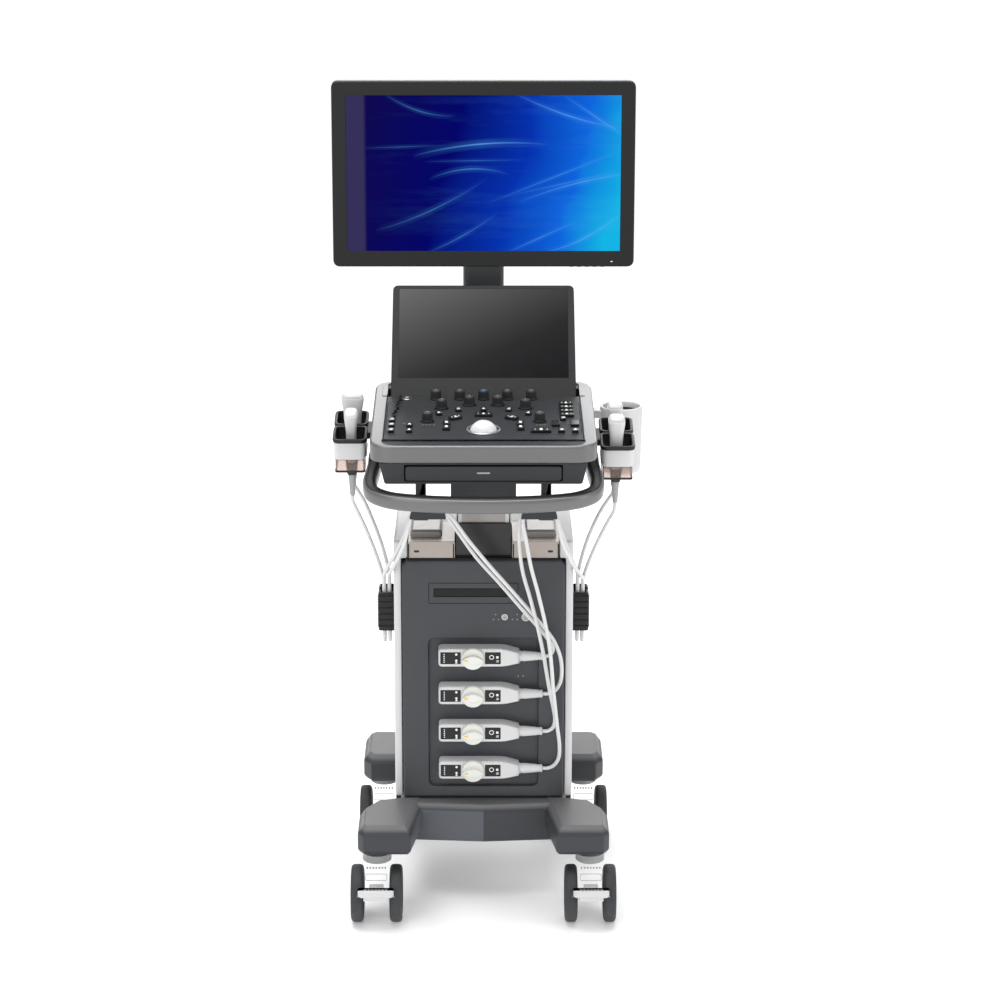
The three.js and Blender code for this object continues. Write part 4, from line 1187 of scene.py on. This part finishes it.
def key(x, up, halfWide, halfHigh, turn=0.0, top=2.8):
    plan = rectangle(-halfWide, halfWide, -halfHigh, halfHigh, min(halfWide, halfHigh) * 0.42, 5)
    cap = slab("key", plan, [(-2.6, -0.2), (0.2, 0), (top - 0.55, 0.1), (top - 0.2, 0.3), (top, 0.75)])
    cap.data.transform(shiftBy(x, up, 0) @ spinBy(turn, "Z"))
    return cap


# x, distance up the panel, half width, half height, turn, sign on it
keyPlan = [
    (-47.5, 147, 11, 5, 28, "bars"), (47.5, 147, 11, 5, -28, "bars"),
    (-62, 118, 6, 7, 6, "square"), (62, 118, 6, 7, -6, "square"),
    (-62, 95, 6, 7, -4, "square"), (62, 95, 6, 7, 4, "square"),
    (-76, 169, 4.6, 4.6, 20, "triangle"), (76, 169, 4.6, 4.6, -20, "triangle"),
    (-43, 189, 5.2, 4.6, 8, "bars"), (43, 189, 5.2, 4.6, -8, "bars"),
    (0, 163, 15, 4.6, 0, "triangle"), (0, 190, 5.2, 4.6, 0, "triangle"),
    *[(-154, up, 5.2, 5, 0, "bars") for up in (80, 108, 134)],
    *[(-124, up, 5.2, 5, 0, "triangle") for up in (80, 108)],
    *[(141, up, 12, 5, 0, "triangle") for up in (162, 182, 202, 222)],
    (96, 80, 17, 5, 0, "square"), (121, 117, 7, 9, 0, ""), (153, 117, 7, 9, 0, ""),
    (134, 142, 5, 4.6, 0, "bars"), (130, 80, 5.6, 5, 0, "bars"), (153, 80, 5.6, 5, 0, "triangle"),
]


def makeKeys():
    caps, marks = [], []
    tall = Matrix.Diagonal((1, 1.7, 1, 1))
    for x, up, halfWide, halfHigh, turn, sign in keyPlan:
        caps.append(key(x, up, halfWide, halfHigh * 1.3, turn))
        if sign:
            mark = smallMark(sign, 0, 0, 4.8)
            mark.data.transform(shiftBy(x, up, signHeight)
                                @ spinBy(turn, "Z") @ tall)
            marks.append(mark)
        if halfWide >= 11:
            for side in (-1, 1):
                dash = smallMark("dot", 0, 0, 2.4)
                reach = spinBy(turn, "Z") @ Vector((side * halfWide * 0.6, 0, 0))
                dash.data.transform(Matrix.Translation((Vector((x, up, signHeight)) + reach) * mm) @ tall)
                marks.append(dash)
    fit(together("key_caps", *caps), keyCap, "keys", "key_black", frameOf=panelPlace)
    fit(together("key_signs", *marks), legend, "keys", "key_black", frameOf=panelPlace)
    dashes = []
    for x, up, wide in ((-94.5, 116, 9), (-128, 124, 8), (94, 116, 6), (121, 131, 6), (153, 131, 5),
                        (96, 90, 9), (-76, 181, 4), (76, 181, 4), (-43, 200, 4), (43, 200, 4)):
        for word in range(int(wide // 3) + 1):
            left = x - wide + word * 6
            dashes.append(slab("dash", rectangle(left, left + 4.2, up - 0.5, up + 0.5), (-2.05, -1.9)))
    onPanel(together("panel_dashes", *dashes), reliefGrey)


sliderRow = {"count": 8, "x": -143, "stepX": 1.25, "up": 262, "stepUp": 15.5, "throw": 1.6}


def makeSliders():
    tracks, grips = [], []
    for index in range(sliderRow["count"]):
        up = sliderRow["up"] - index * sliderRow["stepUp"]
        x = sliderRow["x"] - index * sliderRow["stepX"]
        tracks.append(slab("track", rectangle(x - 7.5, x + 7.5, up - 1.1, up + 1.1, 1, 3), (-2.6, -1.6)))
        slid = sliderRow["throw"] * math.sin(index * 1.9)
        plan = rectangle(x + slid - 2.6, x + slid + 2.6, up - 3.4, up + 3.4, 1.4, 4)
        grips.append(slab("grip", plan, [(-2.4, 0), (2.4, 0.4), (3.4, 1.0), (3.8, 2.0)]))
    onPanel(together("slider_tracks", *tracks), black)
    onPanel(together("slider_grips", *grips), keyCap)
    power = turned("power_button", [(0, -3), (6.4, -3), (6.4, -0.9), (5.9, -0.3), (4, -0.1), (0, -0.2)], 40)
    spot = panelPlace @ shiftBy(-132, 258, 0)
    onPanel(power, keyCap, spot)
    rim = ring("power_ring", [(6.5, -2.6), (8.0, -2.6), (8.0, -1.4), (7.2, -0.7), (6.5, -1.2)], 48)
    onPanel(rim, bright, spot)
    sign = together("power_sign", smallMark("ring", 0, 0, 4.6),
                    slab("bar", rectangle(-0.35, 0.35, 0.6, 3.4), (0, 0.3)))
    onPanel(sign, legend, spot @ shiftBy(0, 0, -0.2))


def makeBall():
    centre = panelPlace @ shiftBy(0, ballUp, -10)
    angles = [math.radians(angle) for angle in range(0, 181, 5)]
    profile = [(ballRadius * math.sin(angle), -ballRadius * math.cos(angle)) for angle in angles]
    ball = turned("ball", profile, 72)
    fit(ball, ballSkin, "ball", "ball_white", "trackball", frameOf=centre)
    rim = ring("ball_ring", [(24.7, -3), (28.8, -3), (28.9, -1.2), (28.2, -0.2), (26.9, 0.5), (25.5, 0.3),
                             (24.8, -0.6)],
               96)
    spot = panelPlace @ shiftBy(0, ballUp, 0)
    onPanel(rim, bright, spot)


def makeHandle():
    right = [(x, y, 0) for x, y in handle["half"]]
    left = [(-x, y, z) for x, y, z in reversed(right)]
    line = throughPoints([*right, (0, handle["front"], 0), *left], 6)
    tilt = (shiftBy(0, 0, handle["frontZ"] - handle["front"] * math.sin(math.radians(handle["rise"])))
            @ spinBy(handle["rise"], "X"))

    def section(t):
        return [(u, v) for u, v, _ in squircle(handle["wide"], handle["tall"], 0, 3.2, 36)]

    bar = swept("handle_bar", line, section, up=(0, 0, 1))
    fit(bar, silver, "console", "silver_paint", "front_handle", frameOf=tilt)
    grip = swept("handle_grip", line[2:-2], lambda t: [(u, v) for u, v,
                                                       _ in squircle(8.2, 2.6, 0, 3, 20, (0.0, 11.0))],
                 up=(0, 0, 1))
    fit(grip, black, "console", "silver_paint", frameOf=tilt)


def makeUnderside():
    fit(refinedShell("console_tub", 1.6), slateShadedUnderside, "console", "dark_plastic", "console_tub")
    fit(refinedShell("keyboard_drawer", 0.9), slateShadedUnderside, "drawer", "dark_plastic", "keyboard_drawer")
    low, high = nodeBox("keyboard_drawer")
    pull = slab("drawer_pull", rectangle(-11, 11, 813, 816, 1.4, 4),
                [(low.y - 0.25, 0.3), (low.y + 0.5, 0)], "y")
    fit(pull, reliefGrey, "drawer", "dark_plastic")
    low, high = nodeBox("lift_column")
    plan = rectangle(low.x, high.x, low.y, high.y, 7, 5)
    column = slab("column_bar", plan, (low.z, high.z))
    fit(column, columnMetal, "console", "column_aluminium", "lift_column")
    for side, sign in sides.items():
        trim = slab("column_trim_" + side, rectangle(sign * 40.5 - 3.2, sign * 40.5 + 3.2, low.y - 0.4,
                                                     low.y + 3, 1.2, 3),
                    (low.z + 198, high.z - 1))
        fit(trim, white, "console", "column_aluminium")


makeBezel()
makePanel()
makeLip()
makeKnobs()
makeKeys()
makeSliders()
makeBall()
makeHandle()
makeUnderside()
print("console made")

# Screens.
touch = {"half": 160.5, "tall": 215, "thick": 18, "y": 41, "z": 880, "lean": 35,
         "glass": (-147.5, 147.5, 31, 200)}
monitor = {"half": 263, "bottom": 1088, "top": 1412, "front": 147, "thick": 28, "corner": 13,
           "tiltY": 212, "tiltZ": 1245}


def makeTouch():
    half, top, thick = touch["half"], touch["tall"] - 8, touch["thick"] / 2
    face = softCorners([(-half, -8, 5), (half, -8, 5), (half - 2, top, 10), (-half + 2, top, 10)], steps=7)
    shell = slab("touch_shell", face, [(-thick, 1.3), (-thick + 0.4, 0.5), (-thick + 1.4, 0),
                                       (thick - 5, 0),
                                       (thick - 1.6, 1.6), (thick, 5)], "y")
    window = slab("window", rectangle(*touch["glass"]), (-thick - 1, -thick + 0.9), "y")
    shell = shaped(shell, cut=[window], edge=0.3)
    barrels = [rod("barrel", 8, (side * 125 - 20, 0, 0), 40, "x", 40, 1.2) for side in (-1, 1)]
    spot = at(0, touch["y"], touch["z"], -touch["lean"])
    fit(together("touch_shell", shell, *barrels), dark, "touch", "touch_glass", "touch_screen",
        frameOf=spot)
    u0, u1, v0, v1 = touch["glass"]
    glass = slab("touch_glass", rectangle(u0 + 0.2, u1 - 0.2, v0 + 0.2, v1 - 0.2),
                 (-thick + 0.25, -thick + 0.8), "y")
    fit(glass, white, "touch", "touch_glass", frameOf=spot)
    low = Vector([min(v.co[i] for v in glass.data.vertices) for i in range(3)])
    high = Vector([max(v.co[i] for v in glass.data.vertices) for i in range(3)])
    glass.data.materials[0] = touchGlassPaintedReflection("touch glass painted reflection", low, high)
    vents = [block("vent", (-70 + 12 * i, thick - 0.3, 150), (-66 + 12 * i, thick + 0.25, 180), 0.15)
             for i in range(12)]
    fit(together("touch_vents", *vents), black, "touch", "touch_glass", frameOf=spot)


def makeMonitor():
    half, bottom, top = monitor["half"], monitor["bottom"], monitor["top"]
    front, back = monitor["front"], monitor["front"] + monitor["thick"]
    low, high = nodeBox("monitor_screen")
    face = rectangle(-half, half, bottom, top, monitor["corner"], 8)
    shell = slab("monitor_shell", face, [(front, 2.6), (front + 0.6, 1.2), (front + 2.4, 0.2),
                                         (front + 4, 0),
                                         (back - 10, 0), (back - 3, 3), (back, 9)], "y")
    bulge = slab("bulge", rectangle(-150, 150, 1205, 1330, 26, 8),
                 [(back - 8, -8), (back + 5, 0), (back + 12, 2),
                                                                  (back + 15, 6)], "y")
    web = block("web", (-38, 185, monitor["tiltZ"] - 9), (38, monitor["tiltY"], monitor["tiltZ"] + 9))
    knuckle = rod("knuckle", 11, (-40, monitor["tiltY"], monitor["tiltZ"]), 80, "x", 40, 1)
    window = block("window", (low.x - 0.3, front - 4, low.z - 0.3), (high.x + 0.3, front + 3, high.z + 0.3))
    vents = together("vents", *[block("vent", (x, back - 2, z), (x + 4, back + 4, z + 26))
                                for z in (1345, 1150) for x in range(-120, 121, 10)])
    shell = shaped(shell, cut=[window, vents], add=[bulge, web, knuckle], edge=0.5, sharp=42)
    fit(shell, dark, "monitor", "dark_plastic", "monitor_housing")
    glass = slab("monitor_glass", rectangle(low.x, high.x, low.z, high.z), (low.y, high.y), "y")
    fit(glass, screenPicture("screen picture", low * mm, high * mm), "monitor", "screen_glass",
        "monitor_screen")
    buttons = [slab("button", rectangle(150 + 13.6 * i, 157.5 + 13.6 * i, front + 6, front + 11, 1.6, 4),
                    [(bottom - 1.1, 0.6), (bottom - 0.7, 0), (bottom + 1, 0)]) for i in range(5)]
    fit(together("monitor_buttons", *buttons), dark, "monitor", "dark_plastic")
    lamp = slab("monitor_lamp", rectangle(222, 226, bottom + 9, bottom + 10.4, 0.6, 3),
                (front - 0.15, front + 0.5), "y")
    fit(lamp, legend, "monitor", "dark_plastic")
    fit(refinedShell("monitor_yoke", 1.2), slate, "yoke", "dark_plastic", "monitor_yoke")
    fit(refinedShell("arm_post", 1.2), slate, "console", "slate_plastic", "arm_post")
    screws = [rod("screw", 4, (x, 189.5, z), 1.6, "y", 24, 0.5) for x in (-60, 60) for z in (1225, 1310)]
    fit(together("monitor_screws", *screws), bright, "monitor", "dark_plastic")


makeTouch()
makeMonitor()
print("screens made")

# Probe holders, probes and gel cup.
holder = {
    "x": 226, "probeX": 224, "lean": 10, "half": 29, "deep": 62, "pitch": 66, "tall": 38,
    "places": {"left": (-113, 840), "right": (-138, 834)},
}
probes = {
    "front_left": {"side": "left", "y": 31, "wide": 0.80, "deep": 1.15, "top": 42, "boxy": 3.2},
    "rear_left": {"side": "left", "y": 97, "wide": 1.35, "deep": 0.82, "top": 45, "boxy": 2.5},
    "rear_right": {"side": "right", "y": 97, "wide": 0.92, "deep": 1.1, "top": 40, "boxy": 3.4},
    "front_right": {"side": "right", "y": 31, "wide": 0.98, "deep": 1.1, "top": 44, "boxy": 3.4},
}
gel = {"x": 240, "y": 60, "bottom": 742, "profile": [
    (0, 0), (27, 0), (31.5, 1.2), (34, 4), (35, 12), (36.2, 70), (36.8, 108), (37, 114), (36.8, 116.6),
    (35.9, 117.8), (34.6, 118), (33, 117.4), (32.2, 116), (32, 112), (31.6, 70), (30.6, 14), (29, 10),
    (26, 8.2),
    (0, 8)]}


def makeHolder(side):
    sign = sides[side]
    y0, z0 = holder["places"][side]
    spot = at(sign * holder["x"], y0, z0, holder["lean"])
    half, deep, tall = holder["half"], holder["deep"], holder["tall"]
    bodies, rims, liners, frames, feet = [], [], [], [], []

    def cupRing(name, rows):
        loops = [[(p.x, p.y, z) for p in inset(outline, by)] for outline, by, z in rows]
        return lofted(name, loops, closed=True)

    for y in (0, holder["pitch"]):
        outer = rectangle(-half + 2, half - 2, y + 2, y + deep - 2, 10, 7)
        wide = rectangle(-half, half, y, y + deep, 12, 7)
        inner = rectangle(-half + 5, half - 5, y + 5, y + deep - 5, 8, 7)
        low = rectangle(-half + 4, half - 4, y + 4, y + deep - 4, 5, 7)
        bodies.append(cupRing("cup", [(outer, 1.6, -tall), (outer, 0.4, -tall + 1.2), (outer, 0, -tall + 3),
                                      (outer, 0, -7.5), (inner, -0.6, -7.5), (inner, -0.6, -tall)]))
        rims.append(cupRing("rim", [(wide, 1.8, -7.6), (wide, 0.4, -6.8), (wide, 0, -5.5), (wide, 0, -1.6),
                                    (wide, 0.5, -0.5), (wide, 1.7, 0), (inner, -1.5, 0),
                                    (inner, -0.4, -0.6),
                                    (inner, 0, -2), (inner, 0, -7.6)]))
        liners.append(cupRing("liner", [(inner, -0.55, -tall + 0.3), (inner, -0.55, -7.0),
                                        (inner, 0.1, -7.0),
                                        (inner, 0.1, -tall + 0.3)]))
        frames.append(cupRing("frame", [(low, 0, -tall - 24), (low, 0, -tall + 0.1),
                                        (low, 1.8, -tall + 0.1),
                                        (low, 1.8, -tall - 24)]))
        feet.append(cupRing("foot", [(low, -0.7, -tall - 24), (low, -0.7, -tall - 21),
                                     (low, 2.4, -tall - 21),
                                     (low, 2.4, -tall - 24)]))
    link = block("link", (-16, deep - 4, -tall + 4), (16, holder["pitch"] + 4, -8), 1.0)
    reach = -sign * (holder["x"] - console["half"] - 0.3)
    railX = sorted(((-sign) * (half - 4), reach))
    rail = block("rail", (railX[0], 40, -16), (railX[1], 90, -4), 1.6)
    fit(together("holder_cups_" + side, *bodies, link), white, "console", "white_plastic",
        "probe_holder_" + side,
        frameOf=spot)
    fit(together("holder_rims_" + side, *rims), black, "console", "rim_black", frameOf=spot)
    fit(together("holder_liners_" + side, *liners, rail, *feet), black, "console", "rim_black",
        frameOf=spot)
    fit(together("holder_frames_" + side, *frames), clear, "console", "white_plastic", frameOf=spot)


def makeProbe(name, one):
    sign = sides[one["side"]]
    y0, z0 = holder["places"][one["side"]]
    spot = (at(sign * holder["x"], y0, z0, holder["lean"])
            @ shiftBy(sign * (holder["probeX"] - holder["x"]), one["y"], 0))
    wide, deep, top, boxy = one["wide"], one["deep"], one["top"], one["boxy"]
    body = [(-58, 8.6), (-50, 9.6), (-40, 10.3), (-20, 10.6), (0, 11.1), (top - 30, 12.2), (top - 22, 13.3),
            (top - 14, 14.3), (top - 9, 14.5), (top - 7.4, 14.4), (top - 7, 13.9)]
    lensRows = [(top - 7.2, 13.6), (top - 5.4, 13.7), (top - 3.4, 13.0), (top - 1.9, 11.6),
                (top - 0.8, 9.4),
                (top - 0.2, 6.4), (top, 3.0)]
    shell = lofted("probe_shell_" + name, [squircle(r * wide, r * deep, z, boxy, 48) for z, r in body])
    fit(shell, white, "console", "white_plastic", "probe_" + name, frameOf=spot)
    lensTop = lofted("probe_lens_" + name, [squircle(r * wide, r * deep, z, boxy, 48) for z, r in lensRows])
    fit(lensTop, lens if name != "front_left" else white, "console", "white_plastic", frameOf=spot)
    collar = lofted("probe_plug_" + name, [squircle(r, r * 1.05, z, 5, 32) for z, r in (
        (-76, 6.6), (-75, 8.0), (-62, 9.6), (-52, 10.4), (-51, 10))])
    fit(collar, black, "console", "rim_black", frameOf=spot)
    rows = [(0, -115.6), (4.0, -115.6)]
    for step in range(9):
        z = -114 + step * 4.2
        rows += [(4.5 + step * 0.24, z), (4.5 + step * 0.24, z + 2.6), (3.9 + step * 0.24, z + 3.0),
                 (3.9 + step * 0.24, z + 3.9)]
    rows += [(6.2, -76.2), (6.2, -75.5), (0, -75.5)]
    relief = turned("probe_relief_" + name, rows, 32)
    fit(relief, reliefGrey, "console", "white_plastic", frameOf=spot)


def makeGelCup():
    cup = turned("gel_cup_shell", gel["profile"], 80)
    arm = block("arm", (console["half"] + 0.3 - gel["x"], -12, 97), (-34, 12, 111), 1.8)
    fit(together("gel_cup_shell", cup, arm), white, "console", "white_plastic", "gel_cup",
        frameOf=at(gel["x"], gel["y"], gel["bottom"]))
    liner = ring("gel_cup_liner", [(31.9, 108), (31.5, 70), (30.5, 14.2), (29.6, 14.4), (30.6, 70),
                                   (31.2, 108)], 80)
    fit(liner, innerGrey, "console", "white_plastic", frameOf=at(gel["x"], gel["y"], gel["bottom"]))


for holderSide in sides:
    makeHolder(holderSide)
for probeName, probeSizes in probes.items():
    makeProbe(probeName, probeSizes)
makeGelCup()
print("probes, holders and gel cup made")
